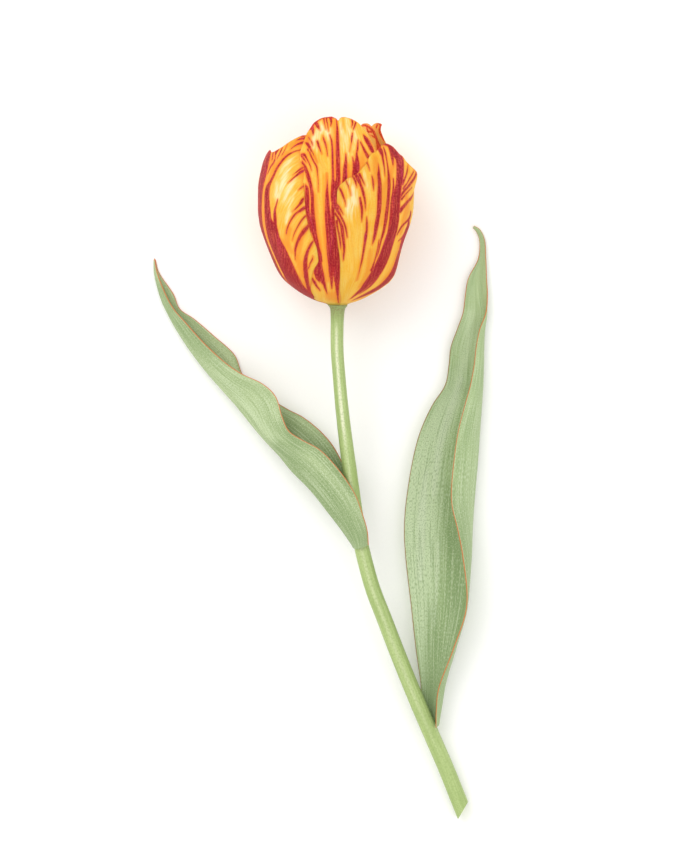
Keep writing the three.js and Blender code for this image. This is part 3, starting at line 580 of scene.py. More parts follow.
# Flames where the view from above sees a petal, as they lie in that view. Each stroke is a list of
# (x from the bloom's axis, height along it, half its width).
FLAMES = {
    "petal_outer_left": [
        # the band along the outline, then the band beside it
        [(-27.1, 62.2, 0.7), (-27.7, 58.7, 1.2), (-28.9, 53.2, 1.3), (-30.1, 47.8, 1), (-30.6, 42.3, 0.95),
         (-30.6, 36.8, 0.95), (-29.8, 31.3, 0.9), (-28.5, 26, 0.8), (-25.8, 20.3, 0.75), (-23.3, 14.8, 0.75),
         (-19.9, 9.3, 0.75), (-15.6, 5.6, 0.7), (-12, 3.6, 0.6)],
        [(-13.6, 63.2, 0.25), (-16, 62.4, 0.25), (-18.5, 61, 0.3), (-20.5, 59.3, 0.35), (-22.1, 57.3, 0.35),
         (-23.6, 55, 0.35), (-25, 52, 0.4), (-26.2, 49.5, 0.5), (-27.3, 47, 0.9), (-27.7, 43, 1.05),
         (-27.4, 39, 1.1), (-27, 34.5, 1.4), (-25.8, 31, 1.9), (-24.4, 26, 2.4), (-21.8, 20.6, 2.6),
         (-19.1, 15, 2.5), (-16.3, 10, 2.1), (-13.4, 6.4, 1.7), (-10.6, 4, 1.1)],
        [(-23.3, 42.6, 0.08), (-23.8, 40.5, 0.2), (-24.3, 38.4, 0.35), (-24.4, 36, 0.6), (-24.3, 33, 0.65),
         (-24, 30, 0.9), (-23.4, 27, 1)],
        # fine stripes along the top edge and under the tip
        [(-12, 68.1, 0.3), (-13.6, 68.6, 0.25), (-15, 68.2, 0.2), (-17.4, 67, 0.12)],
        [(-12, 67.4, 0.35), (-13.6, 67.4, 0.3), (-15.8, 66.6, 0.1)],
        [(-11.9, 66.3, 0.5), (-13.6, 65.8, 0.5), (-15.2, 65.1, 0.3), (-16.6, 64.2, 0.15), (-18, 63, 0.08)],
        [(-25, 62, 0.2), (-25.3, 60, 0.2), (-25.5, 58.4, 0.15)],
        [(-24.1, 62, 0.3), (-24.2, 59.8, 0.2), (-24.8, 57.6, 0.35), (-26, 55.9, 0.3), (-27.3, 53, 0.15)],
        [(-23.2, 62.4, 0.3), (-23.9, 60.8, 0.12)],
        [(-21.4, 63.4, 0.2), (-22.3, 61.4, 0.3), (-23.5, 59, 0.15)],
        [(-19.4, 64.8, 0.15), (-20.4, 62.6, 0.15), (-21.6, 60.4, 0.1)],
        # feathers from the inner margin
        [(-12.8, 56, 0.15), (-14, 55.2, 0.4), (-15.8, 53.8, 0.25), (-17.2, 52.6, 0.05)],
        [(-12.4, 54.6, 0.4), (-14.4, 53.6, 0.5), (-16.4, 51.9, 0.3), (-18, 50.3, 0.25), (-19.1, 49.3, 0.12)],
        [(-12.1, 48.3, 0.2), (-13.6, 47.4, 0.25), (-15, 46.3, 0.05)],
        [(-13, 43.3, 0.2), (-13.6, 42, 0.7), (-14.6, 40.4, 0.45), (-16, 39, 0.25), (-17.5, 37.7, 0.05)],
        [(-12.6, 39.2, 0.6), (-14.2, 38.2, 0.5), (-16.2, 36.8, 0.4), (-17.8, 34.7, 0.35), (-19.3, 31.5, 0.25),
         (-19.9, 29, 0.05)],
        [(-12.2, 36, 0.3), (-13.7, 34.4, 0.3), (-15.4, 31.6, 0.25), (-16.7, 29, 0.2), (-17.5, 26.2, 0.08)],
        [(-11, 32.4, 0.35), (-12, 31, 0.8), (-13.6, 28.9, 0.7), (-15.2, 26, 0.6), (-16.2, 22.6, 0.4),
         (-16.3, 18.6, 0.08)],
        [(-9.2, 26, 0.2), (-10.2, 24.4, 0.45), (-11.5, 21.6, 0.5), (-12.2, 18, 0.8), (-12.2, 14.5, 0.9),
         (-11.8, 11, 0.85), (-11.2, 8, 0.7), (-10.4, 5.4, 0.5)],
        [(-9.2, 20, 0.12), (-9.6, 18.6, 0.25), (-10.4, 17, 0.2), (-11, 15, 0.15)],
    ],
    "petal_inner_front": [
        # the two lines of the midrib, which meet in one band
        [(0, 75.2, 0.2), (0.35, 73, 0.3), (0.6, 69, 0.55), (0.6, 64, 0.65), (0.7, 60, 0.8), (0.8, 55, 0.85),
         (0.7, 50, 1), (-0.1, 46.5, 1.4), (-0.6, 42, 1.1), (-0.8, 38, 1.1), (-0.8, 34, 1.2),
         (-0.8, 30, 1.3), (-0.6, 26, 1.5), (0, 21, 2), (0.3, 16, 1.6), (0.4, 12, 1.3), (0.45, 8, 0.8),
         (0.65, 4.5, 0.45), (0.9, 1.4, 0.15)],
        [(-2.5, 68.4, 0.15), (-1.9, 66.4, 0.3), (-1.5, 63, 0.3), (-1.35, 60, 0.35), (-1.3, 56, 0.4),
         (-1.25, 52, 0.45), (-1.3, 48.6, 0.7), (-1.3, 45, 0.9), (-1.4, 42, 0.7)],
        [(-3.6, 53, 0.08), (-3.5, 49, 0.2), (-3.6, 45.5, 0.55), (-3.5, 42, 0.8), (-3.3, 37, 1.05),
         (-2.9, 32, 1.35), (-2.5, 27, 1.4), (-2.2, 22, 1.5), (-2, 17, 1.2), (-1.9, 13, 0.9), (-1.8, 10, 0.5),
         (-1.7, 7, 0.12)],
        [(-2.2, 27, 0.3), (-1.8, 22, 1.2), (-1.2, 17, 1.2), (-1, 14, 0.5)],
        # the band along the left margin, in two parts that run together
        [(-13.5, 57.2, 0.3), (-12.6, 55.4, 0.75), (-11.6, 53.4, 0.7), (-10.9, 51, 0.8), (-10.2, 48.6, 0.6),
         (-9.6, 45, 0.65), (-9.4, 41, 0.7), (-9.3, 37, 0.8), (-9.2, 33, 1.1), (-8.9, 30, 1.1),
         (-8.3, 27.4, 0.9), (-7.5, 24.4, 0.75), (-6.7, 21, 0.7), (-6.3, 18, 0.8)],
        [(-12.1, 48.6, 0.1), (-11.6, 47, 0.6), (-11.5, 43, 0.95), (-11.5, 39, 0.9), (-11.2, 36.4, 0.8),
         (-10.4, 33, 0.8), (-9.6, 30, 0.7)],
        [(-6.6, 19, 0.7), (-6.8, 16, 1.3), (-6.9, 13.6, 1.9), (-6, 11.6, 1.5), (-5, 9.4, 0.7),
         (-4.3, 7.4, 0.45), (-3.6, 5, 0.12)],
        [(-8.6, 14.2, 0.3), (-8, 12, 0.5), (-7.2, 10.6, 0.4), (-6.3, 9.2, 0.08)],
        [(-9.4, 10.9, 0.35), (-8.6, 9.4, 0.5), (-7.6, 7.8, 0.3), (-6.4, 6.3, 0.15)],
        # stripes of the upper left
        [(-12.3, 64.8, 0.4), (-11.3, 64, 0.6), (-10.1, 62, 0.35), (-8.8, 59.8, 0.25), (-7.6, 57.2, 0.12)],
        [(-11.3, 62, 0.3), (-10.2, 60, 0.35), (-9, 57.6, 0.35), (-7.8, 55.6, 0.35), (-7.4, 53, 0.25),
         (-7.1, 50, 0.15), (-7, 45.6, 0.1)],
        [(-13.8, 60, 0.3), (-12.8, 60, 0.55), (-11.6, 58.2, 0.3), (-10.4, 56, 0.2), (-9.8, 54, 0.06)],
        [(-13.7, 59.6, 0.4), (-12.6, 58, 0.3), (-11.8, 56.8, 0.1)],
        [(-11.6, 67.4, 0.15), (-10.4, 66, 0.15), (-9.5, 64.4, 0.18), (-9.3, 63.6, 0.06)],
        [(-7.5, 65.4, 0.4), (-7, 64, 0.4), (-6.4, 62.4, 0.22), (-5.6, 60.8, 0.08)],
        [(-5.2, 68, 0.1), (-4.9, 66.6, 0.35), (-4.1, 64.4, 0.3), (-3.7, 62.4, 0.2), (-3.4, 60, 0.12)],
        # the top edge and the tips that hang from it
        [(-10.4, 70, 0.25), (-9, 71.8, 0.25), (-7.6, 73.3, 0.25), (-5.4, 74.9, 0.25), (-3, 75.6, 0.45),
         (-0.8, 75.4, 0.35)],
        [(-9.5, 71, 0.5), (-9.2, 69.6, 0.5), (-9.1, 68, 0.12)],
        [(-8.1, 72.8, 0.6), (-7.4, 71.5, 0.65), (-6.5, 70, 0.12)],
        [(-4.9, 75, 0.4), (-4.6, 73, 0.25), (-4, 70.6, 0.1)],
        [(-3.9, 74.8, 0.35), (-3.4, 72.6, 0.25), (-3, 70, 0.1)],
        [(-2.2, 75.3, 0.6), (-1.9, 73.8, 0.4), (-2.1, 72, 0.1)],
        # stripes of the right half
        [(6.3, 74.8, 0.3), (6.6, 73.6, 0.3), (6.2, 71.8, 0.08)],
        [(7.8, 73.6, 0.3), (7.4, 72.2, 0.3), (6.9, 70.8, 0.08)],
        [(6.6, 69.4, 0.06), (6.3, 67.4, 0.25), (6.05, 65.4, 0.12), (5.4, 62, 0.06)],
        [(3.9, 61, 0.12), (3.9, 58, 0.45), (3.6, 55, 0.75), (3.5, 52, 0.9), (3.3, 48, 0.9)],
        [(8.8, 66.6, 0.06), (8.6, 64, 0.3), (8.3, 61, 0.4), (8.4, 58.6, 0.75), (8.1, 56, 1.3), (7.7, 54, 1.3),
         (7.2, 51, 1)],
        [(6.6, 59.6, 0.12), (6.9, 57.6, 0.4), (7.1, 55, 0.6)],
        [(11, 68.5, 0.2), (12, 66.9, 0.75), (13.2, 64.8, 0.8), (14.2, 62.8, 0.75), (14.9, 61.2, 0.3)],
        [(9.8, 65.6, 0.25), (10.8, 63.5, 0.45), (11.8, 61.5, 0.6), (12.6, 60, 0.7)],
    ],
    "petal_outer_right": [
        # the top edge and the tips that run down from it to the midrib
        [(18.8, 64.8, 0.4), (20.6, 64.6, 0.8), (22.4, 63, 1.2), (23.6, 61.2, 1.3), (24.8, 58.6, 1),
         (25.2, 55, 1.1), (25.2, 51, 1.2), (24.8, 47, 1.3), (24.2, 43, 1.5), (23.8, 38, 1.5),
         (23.4, 34, 1.6), (22.5, 30, 1.75), (21.1, 25.4, 1.9), (19.6, 21, 2), (17.9, 17, 2), (15.6, 13, 1.8),
         (13.2, 10, 1.3), (11, 7.4, 0.8), (8.4, 5.2, 0.4), (6.2, 3.4, 0.15)],
        [(22.9, 51, 0.2), (22.8, 46, 0.4), (22.2, 42, 0.45), (21.9, 37, 0.5), (21.4, 32, 0.5),
         (20.4, 27, 0.4), (18.7, 22, 0.35), (17, 18.4, 0.3), (15, 14.6, 0.25), (12.6, 11.4, 0.1)],
        [(21.4, 63.6, 0.5), (22.2, 60.8, 0.6), (22.5, 58.6, 0.5), (22.7, 56.4, 0.12)],
        [(25.4, 61, 0.5), (26.4, 59, 0.5), (26.7, 56, 0.5), (26.4, 53, 0.6), (25.9, 50, 0.8)],
        [(18.9, 63.4, 0.15), (19.5, 61.6, 0.25), (20, 59.4, 0.22), (20.4, 57, 0.22), (20.8, 54.2, 0.35),
         (21.1, 51, 0.6), (21.1, 47, 0.65), (20.7, 42, 0.6), (20.3, 38, 0.6), (19.8, 34, 0.6),
         (19, 30, 0.5), (18, 26.4, 0.35), (17.2, 23, 0.2), (16.4, 20, 0.08)],
        [(22.8, 51, 0.15), (22.9, 48, 0.25), (23.1, 45, 0.4)],
        [(16.8, 64, 0.7), (17.8, 62, 0.8), (18.5, 60, 0.45), (18.9, 57.6, 0.3), (19.3, 55, 0.15),
         (19.5, 52, 0.06)],
        # the long stripe and the short ones beside it
        [(16.8, 56.8, 0.08), (17, 54.8, 0.35), (17.1, 52, 0.65), (17.4, 48.6, 0.75), (17.3, 44, 0.9),
         (17.2, 40, 0.85), (16.8, 36, 0.8), (16.2, 32.6, 0.8), (15.7, 29.6, 0.6), (15.1, 27, 0.45),
         (14.4, 24.6, 0.08)],
        [(14.3, 51.9, 0.2), (14.7, 49.6, 0.35), (15, 46.2, 0.12)],
        [(9.6, 43.2, 0.35), (10, 41, 0.5), (10.3, 38.4, 0.55), (10.3, 36, 0.35), (10.2, 33.6, 0.06)],
        [(12.2, 35.6, 0.15), (12.3, 33, 0.4), (12.2, 30, 0.45), (11.7, 27, 0.5), (11.2, 24, 0.4),
         (10.7, 20.6, 0.35), (10, 17, 0.3), (9.4, 14.4, 0.2), (8.3, 10.4, 0.06)],
        [(17.1, 26.4, 0.1), (16.6, 23, 0.25), (15.9, 20, 0.25), (15.2, 17.4, 0.3), (14.2, 14.6, 0.5)],
        [(16.8, 11.8, 0.25), (15, 9.6, 0.3), (13, 7.7, 0.25), (11, 6.2, 0.15), (9.4, 5.1, 0.08)],
        # stripes from the upper left edge
        [(6.4, 52.2, 0.3), (7.4, 50.4, 0.35), (8, 48.8, 0.3), (8.2, 47.4, 0.1)],
        [(7.8, 52.6, 0.6), (8.9, 50.4, 0.7), (9.8, 48.4, 0.5), (10.6, 46, 0.55), (11.2, 43.6, 0.5),
         (11.6, 41, 0.35), (11.8, 38.2, 0.08)],
        [(9.4, 52.6, 0.5), (10.2, 51, 0.35), (11, 49.2, 0.25), (11.5, 48.2, 0.06)],
        [(3.9, 50, 0.25), (4.9, 47.8, 0.22), (5.5, 46, 0.2), (5.9, 44.2, 0.08)],
        [(0.8, 47.9, 0.3), (2, 46, 0.4), (3, 43.6, 0.35), (3.6, 41.6, 0.25), (3.8, 39.8, 0.06)],
        [(12.2, 57.6, 0.35), (12.9, 56, 0.25), (13.4, 54, 0.1)],
        # feathers from the lower left margin
        [(-0.6, 41.4, 0.35), (0.8, 40, 0.35), (1.8, 38.6, 0.3), (2.9, 36.6, 0.12)],
        [(-0.6, 39.8, 0.5), (0.8, 37.8, 0.5), (1.9, 35.8, 0.35), (2.9, 33.8, 0.35), (3.7, 31.8, 0.32),
         (4.1, 30, 0.25), (4.5, 27.4, 0.06)],
        [(-0.4, 37, 0.4), (0.8, 35, 0.45), (1.8, 33, 0.55), (2.4, 31, 0.65), (2.7, 28.6, 0.6), (3, 25.6, 0.6),
         (3.2, 23, 0.5), (3.1, 20.6, 0.3), (3, 18.4, 0.06)],
        [(0.2, 34, 0.5), (0.7, 31, 0.35), (1.3, 28.4, 0.35), (1.7, 26, 0.35), (1.9, 23, 0.08)],
        # stripes between the midrib and the right margin
        [(28.7, 56.4, 0.1), (28.4, 54, 0.3), (27.9, 52.2, 0.35), (27.2, 50.4, 0.3), (26.6, 49, 0.4)],
        [(31.2, 54, 0.12), (30.4, 52.6, 0.2), (29.4, 51, 0.2), (28.2, 49, 0.25), (26.8, 47, 0.35)],
        [(32, 52.8, 0.35), (31.4, 51.2, 0.4), (30, 49.4, 0.45), (28.4, 47.5, 0.45), (27, 45.8, 0.4),
         (25.8, 44, 0.4)],
        [(30.3, 47.6, 0.1), (29, 46.2, 0.2), (27.6, 44.6, 0.25), (26.2, 42.8, 0.4)],
        [(30.9, 45.4, 0.1), (30.4, 43.9, 0.25), (29.4, 42.8, 0.45), (28.4, 41.6, 0.5), (27.2, 40.2, 0.6),
         (25.8, 38.4, 0.7)],
        [(29.8, 37.8, 0.15), (29.7, 36.2, 0.35), (29.2, 35, 0.4), (28, 33.8, 0.3), (26.6, 32.4, 0.3),
         (25.4, 30.6, 0.3), (24.4, 28.6, 0.2)],
        [(28.4, 31.6, 0.3), (28, 30.2, 0.5), (27.2, 28.6, 0.45), (26, 27, 0.22), (24.9, 26, 0.12)],
        [(29.2, 35.6, 0.15), (28.6, 32, 0.4), (27.9, 29.6, 0.6), (26.5, 25.8, 0.6), (25.6, 22.5, 0.4),
         (24.9, 20.3, 0.45), (24.2, 17.6, 0.7), (23.1, 14.8, 0.85), (21.4, 12.1, 0.8), (18.8, 9.4, 0.65),
         (15.8, 7.2, 0.55), (13, 5.6, 0.45), (9.8, 4, 0.3), (7.2, 2.8, 0.1)],
    ],
    "petal_inner_back_right": [
        [(9.8, 72.2, 0.3), (10.6, 73.5, 0.4), (12, 73.4, 0.4), (13.8, 72.4, 0.4), (15.4, 70.7, 0.45),
         (16.5, 68.6, 0.5), (17.1, 66.4, 0.75), (17.4, 64, 0.9), (17.4, 61, 0.9), (17.2, 57, 0.6)],
        [(12.6, 72.4, 0.2), (13, 71.3, 0.45), (14, 71, 0.35), (15, 70.8, 0.3)],
        [(13.9, 69.4, 0.2), (14.8, 69.3, 0.3), (15.8, 68.8, 0.4)],
    ],
    "petal_outer_back": [
        [(16.2, 71.8, 0.3), (16.6, 72.8, 0.4), (17.3, 73.4, 0.4), (18, 72.8, 0.5)],
        [(18.1, 73, 0.5), (17.8, 71.8, 0.5), (17.6, 70.5, 0.45), (18, 69.2, 0.4), (18.6, 68, 0.25),
         (19.3, 66.4, 0.1)],
    ],
}

# Orange washes, partly painted shade in a crease and along the outline, and pale streaks, partly painted
# highlights, in the same way
WASHES_AND_PAINTED_SHADE = {
    "petal_outer_left": [
        [(-26.2, 58, 0.8), (-28.2, 51, 0.6), (-29.2, 44, 0.5), (-28.9, 35, 0.6), (-27.2, 27.5, 0.5),
         (-24.6, 22, 0.4), (-22.4, 18, 0.3)],
        [(-20, 60.6, 0.8), (-24.4, 55.4, 0.8), (-26.4, 51, 0.6), (-27.6, 47, 0.5)],
        [(-21, 26, 0.5), (-20.2, 22, 0.5), (-17, 15, 0.6), (-14.6, 11, 0.8), (-12.4, 8, 0.7)],
        [(-16, 22, 0.3), (-14.6, 17, 0.8), (-13.4, 12, 0.8)],
        [(-13.4, 30, 0), (-14.4, 25, 0.7), (-14.8, 19, 0.3)],
        [(-18.6, 31, 0.6), (-19.6, 27, 0.7), (-18, 22, 0.5)],
        [(-13.4, 60, 0.6), (-13.6, 57, 0.5), (-12.8, 51, 0.9), (-13, 47.4, 0.5)],
        [(-18, 65, 1), (-14, 64.6, 0.8), (-13, 61, 0.7)],
    ],
    "petal_inner_front": [
        [(-10.6, 67.8, 0.7), (-11.6, 65.8, 0.5)],
        [(-0.6, 74, 0.3), (-0.5, 68, 0.35), (-0.4, 58, 0.3), (-0.3, 50, 0.3)],
        [(2.9, 75.4, -0.4), (2.8, 73, -0.3), (2.2, 70.8, -0.6)],
        [(-4.2, 52, -0.2), (-4.5, 44, 0.1), (-4.8, 36, 0.2), (-4.6, 28, 0.2), (-4.2, 18, 0.2),
         (-3.4, 10, 0.2)],
        [(-8.4, 44, 0.4), (-8, 36, 0.5), (-7, 28, 0.4), (-6, 22, 0.4)],
        [(5, 56, 0.5), (5.2, 50, 0.6)],
        [(10.4, 62, 0.2), (10.8, 57.6, 0.9), (9.8, 55, 0.6)],
        [(0, 4, 1.6), (-3, 4, 1)],
    ],
    "petal_outer_right": [
        [(15.8, 59, 0.8), (16, 55, 1.2), (15.4, 49, 0.5)],
        [(23, 58, 0.6), (21.8, 52, 0.7), (19.4, 48, 0.6), (19, 40, 0.5), (18.4, 33, 0.4)],
        [(27.6, 44.4, 0.5), (29, 39.6, 0.9), (27.6, 36.4, 0.8), (26, 30, 0.5)],
        [(26, 26, 0.6), (24.4, 20, 0.9), (22.6, 15, 0.8), (19, 10.4, 0.6)],
        [(13.6, 22, 0.5), (13.2, 18, 0.7), (12.4, 13, 0.7), (10, 8.4, 0.5)],
    ],
}
PALE_STREAKS_AND_HIGHLIGHTS = {
    "petal_outer_left": [
        [(-18.6, 58, 0.5), (-20.2, 55, 1), (-21.6, 51.4, 0.6)],
        [(-19.6, 52.6, 0.4), (-21.4, 49, 0.7), (-22.4, 44, 0.1)],
        [(-17.6, 49.6, 0.2), (-19.4, 45.6, 0.8), (-20.8, 41.4, 0.4)],
        [(-17.2, 43.4, 0.2), (-18.8, 38.4, 0.7), (-19.8, 33.6, 0)],
        [(-17, 46, 0.3), (-18.4, 43, 0.4), (-19.4, 40, 0.3)],
        [(-23.4, 49, 0.4), (-23.8, 44, 0.5)],
    ],
    "petal_inner_front": [
        [(-7, 69.6, 0.6), (-5.4, 70.4, 1.4), (-3.8, 69.4, 1.2), (-3, 68, 0.6)],
        [(-7.8, 68.4, 0.9), (-8.4, 66.4, 0.9), (-8.8, 63, 0.4)],
        [(1.6, 74.4, -0.6), (1.8, 72, 0), (2.4, 66, 0.2), (2.8, 58, -0.6)],
        [(4.2, 74.6, -0.4), (4.4, 72, 0), (5, 65, 0.2), (5.2, 58, -0.8)],
        [(7.2, 71.4, -0.2), (7.6, 68, 0.2), (7.4, 63, -0.6)],
    ],
    "petal_outer_right": [
        [(5.4, 49, 0.3), (6.6, 46, 0.8), (7, 42, 0.6)],
        [(5, 42, 0.5), (4.8, 38, 0.6), (4.4, 35, 0.3)],
        [(11.4, 52.6, -0.6), (11.8, 49.4, -0.4), (12.6, 44, -0.8)],
    ],
    "petal_outer_back": [
        [(16.2, 72.6, -0.4), (16.7, 71, -0.3), (17.2, 69, -0.3), (17.9, 67, -0.3), (18.5, 65, -0.4)],
    ],
}


def line_through(stroke, pieces=4):
    """The stroke with more points, on a smooth curve through its own."""
    points = np.array(stroke, float)
    if len(points) < 3:
        return points
    curve = guide(points)
    return curve(np.linspace(0, 1, pieces * (len(points) - 1) + 1))


def reach_of(lines, x, y, farthest=STROKE_REACH):
    """How far each place lies inside the nearest stroke, in millimetres, and negative outside."""
    reach = np.full(len(x), -float(farthest))
    for line in lines:
        for (x0, y0, w0), (x1, y1, w1) in zip(line[:-1], line[1:]):
            dx, dy = x1 - x0, y1 - y0
            t = np.clip(((x - x0) * dx + (y - y0) * dy) / (dx * dx + dy * dy), 0, 1)
            distance = np.hypot(x - x0 - t * dx, y - y0 - t * dy)
            np.maximum(reach, w0 + t * (w1 - w0) - distance, out=reach)
    return reach


def grown_flames(half_width, top, seed, sides=(-1, 1), innermost=0.52, bands=True):
    """Flames of the places that the view from above hides: bands beside the midrib and feathers from
    the margins, each a list of (millimetres from the middle line, height, half the width)."""
    draw = np.random.default_rng(seed)
    strokes = []

    def add(points):
        line = []
        for share, height, width in points:
            line.append((share * float(half_width(height, math.copysign(1, share))), height, width))
        strokes.append(line_through(line))

    for side in sides:
        if bands:
            band = [(across * side, up * top, width) for across, up, width in GROWN_BAND]
            add(band + [(0.2 * side, 3, 0.5)])
        for share in GROWN_STRIPES if bands else ():
            start = draw.uniform(0.6, 0.85) * top
            end = draw.uniform(0.2, 0.4) * top
            wide = draw.uniform(0.3, 0.6)
            middle = (start + end) / 2
            add([(share * side, start, 0.1), (share * side, middle, wide), (share * side, end, 0.08)])
        for h in np.arange(0.2 * top, 0.9 * top, FEATHER_GAP):
            start = h + draw.uniform(-1.2, 1.2)
            fall = draw.uniform(6, 10)
            inner = draw.uniform(innermost, innermost + 0.16)
            wide = draw.uniform(0.25, 0.6)
            add([(1.02 * side, start, wide), (0.86 * side, start - 0.3 * fall, wide),
                 (inner * side, start - fall, 0.06)])
        add([(across * side, up * top, width) for across, up, width in GROWN_MARGIN])
    return strokes


# Grown flames as (share of the way from the middle line to a margin, share of the height that they
# reach, half the width): the band beside the midrib and the one along a margin. The stripes beside
# the first band lie at the shares given, and the feathers are that many millimetres apart.
GROWN_BAND = [(0.1, 0.92, 0.15), (0.12, 0.8, 0.5), (0.13, 0.6, 1), (0.14, 0.4, 1.3), (0.16, 0.2, 1.4)]
GROWN_MARGIN = [(1, 0.35, 0.3), (1, 0.2, 0.9), (1, 0.06, 0.5)]
GROWN_STRIPES = (0.3, 0.44)
FEATHER_GAP = 4.6

# What is grown on each petal, with the seed of its random draws and how high it reaches
GROWN = {
    "petal_inner_back_right": dict(seed=11, top=60),
    "petal_inner_back_left": dict(seed=23, top=66),
    "petal_outer_back": dict(seed=37, top=60),
    "petal_outer_left": dict(seed=41, top=60, sides=(-1,), bands=False, innermost=0.3),
    "petal_outer_right": dict(seed=53, top=58, sides=(1,), bands=False, innermost=0.78),
}


def level_with_cup(across, height):
    return 0 * height


def surface_of(petal):
    """Gives the places on a petal, their angles, and how far round it is to the edge on that side."""
    left, middle, right = (smooth_curve(petal[edge]) for edge in ("left", "middle", "right"))

    def at(across, height):
        across, height = np.broadcast_arrays(across, height)
        turn = np.where(across < 0, left(height), right(height)) - middle(height)
        degrees = middle(height) + turn * np.abs(across)
        out = petal.get("out", level_with_cup)(across, height)
        lean = petal.get("lean", level_with_cup)(across, height)
        for margin, side in petal.get("under", ()):
            covered = side * np.radians(degrees - smooth_curve(margin)(height)) * cup_radius(height)
            out = out + COVERED_LAYER * step(covered, 0, MARGIN_REACH)
        points = on_cup(height, degrees, out, lean)
        return points, degrees, np.radians(np.abs(turn)) * cup_radius(height)

    return at


def laid_on(petal, surface, strokes):
    """Strokes drawn in the view from above, as (millimetres from the petal's middle line, height,
    half the width) on the petal itself. Both sides of a stroke are laid, also past the outline."""
    across = np.linspace(-1, 1, PLACES_ACROSS)
    facing = 1 if petal["seen"][0] >= -90 and petal["seen"][1] <= 90 else -1

    def place_at(x, height):
        points, degrees, half_arc = surface(across, height[:, None])
        views = points[..., 0] - BLOOM_BASE[0]
        around = across * half_arc
        hidden = (degrees < petal["seen"][0]) | (degrees > petal["seen"][1])
        nearest = np.argmin(np.abs(views - x[:, None]) + OUT_OF_SIGHT * hidden, axis=1)
        rows = np.arange(len(x))
        before, after = np.maximum(nearest - 1, 0), np.minimum(nearest + 1, len(across) - 1)
        rate = (views[rows, after] - views[rows, before]) / (around[rows, after] - around[rows, before])
        turned_away = 1 - step(facing * rate, TURNED, TURNING)
        rate = facing * np.maximum(facing * rate, LEAST_TURN)
        place = around[rows, nearest]
        place = place + np.clip((x - views[rows, nearest]) / rate, -PAST_OUTLINE, PAST_OUTLINE)
        window = np.hanning(2 * STEADY_REACH + 3)[1:-1]
        padded = np.pad(place, STEADY_REACH, "reflect", reflect_type="odd")
        even = np.convolve(padded, window / window.sum(), "valid")
        return place + (even - place) * turned_away

    laid = []
    for stroke in strokes:
        x, height, width = line_through(stroke).T
        run, climb = np.gradient(x), np.gradient(height)
        aside, up = np.stack([climb, run]) * width / np.hypot(run, climb)
        first, second = place_at(x - aside, height + up), place_at(x + aside, height - up)
        place = (first + second) / 2
        turned = np.gradient(place)
        wide = ((second - first) * climb + 2 * up * turned) / np.hypot(turned, climb) / 2
        laid.append(np.stack([place, height, np.sign(width) * np.abs(wide)], axis=1))
    return laid


def make_petal(petal, outer_material, inner_material):
    surface = surface_of(petal)
    top = smooth_curve(petal["top"])
    name = petal["name"]
    piece = grid(name + "_skin", *petal["grid"])
    flat = places(piece)
    across = flat[:, 0]
    along = (flat[:, 1] + 1) / 2
    height = PETAL_ROOT + (top(across) - PETAL_ROOT) * along ** ROW_EASE
    points, _, half_arc = surface(across, height)
    margin = np.minimum((1 - np.abs(across)) * half_arc, top(across) - height)
    points[:, 2] = np.maximum(points[:, 2], 0)
    put(piece, points)

    around = across * half_arc
    flames = laid_on(petal, surface, FLAMES.get(name, []))
    if name in GROWN:
        flames += grown_flames(lambda h, side: surface(side, h)[2], **GROWN[name])
    store(piece, "flame_reach", reach_of(flames, around, height))
    # orange washes that are partly painted shade, and pale streaks that are partly painted highlights
    for key, strokes in (("wash_and_shade", WASHES_AND_PAINTED_SHADE), ("light", PALE_STREAKS_AND_HIGHLIGHTS)):
        store(piece, key, reach_of(laid_on(petal, surface, strokes.get(name, [])), around, height))
    store(piece, "margin", margin)
    store(piece, "height", height)
    half_width = float(surface(1, WIDEST)[2] + surface(-1, WIDEST)[2]) / 2
    spread = np.where(across < 0, *petal.get("fan", (1, 1)))
    fan = np.exp(-spread * (np.maximum(height, FAN_FROM) - WIDEST) / FAN_REACH)
    lay_chart(piece, across * fan * half_width / CHART_UNIT, height / CHART_UNIT)

    piece.data.materials.append(outer_material)
    piece.data.materials.append(inner_material)
    share = PETAL_THIN + (1 - PETAL_THIN) * step(margin, 0, MARGIN_REACH)
    thicken(piece, PETAL_THICKNESS, share, offset=-1, slots_on=1)
    smooth(piece, CREASE)
    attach(piece, "root")
    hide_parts(name)


# The stem

def unit(vectors):
    return vectors / np.linalg.norm(vectors, axis=-1, keepdims=True)


def outline_of(part):
    """Heights and radii of the rings of a round part."""
    curve = guide([(height, radius, 0) for height, radius in part["profile"]])
    rings = curve(np.linspace(0, 1, part["steps"] + 1))
    return rings[:, 0], np.maximum(rings[:, 1], 0)


def stem_rings():
    """Centre, tangent and radius of each ring of the stem, from inside the bloom to the cut."""
    heights, radii = outline_of(RECEPTACLE)
    axis = unit(np.array([0, -1, -BLOOM_RISE]))
    rise = (BLOOM_BASE[2] - STEM_END_HEIGHT) / (STEM_PATH[0][1] - STEM_PATH[-1][1])
    line = guide([(x, y, STEM_END_HEIGHT + rise * (y - STEM_PATH[-1][1])) for x, y in STEM_PATH])
    share = np.linspace(0, 1, STEM_STEPS)
    centres = line(share)
    tangents = unit(np.gradient(centres, axis=0))
    path_radii = smooth_curve(STEM_RADIUS)(centres[:, 1])
    return (
        np.vstack([in_bloom(0 * heights, heights, 0 * heights), centres, centres[-1:]]),
        np.vstack([np.tile(axis, (len(heights), 1)), tangents, tangents[-1:]]),
        np.concatenate([radii, path_radii, [0]]),
    )


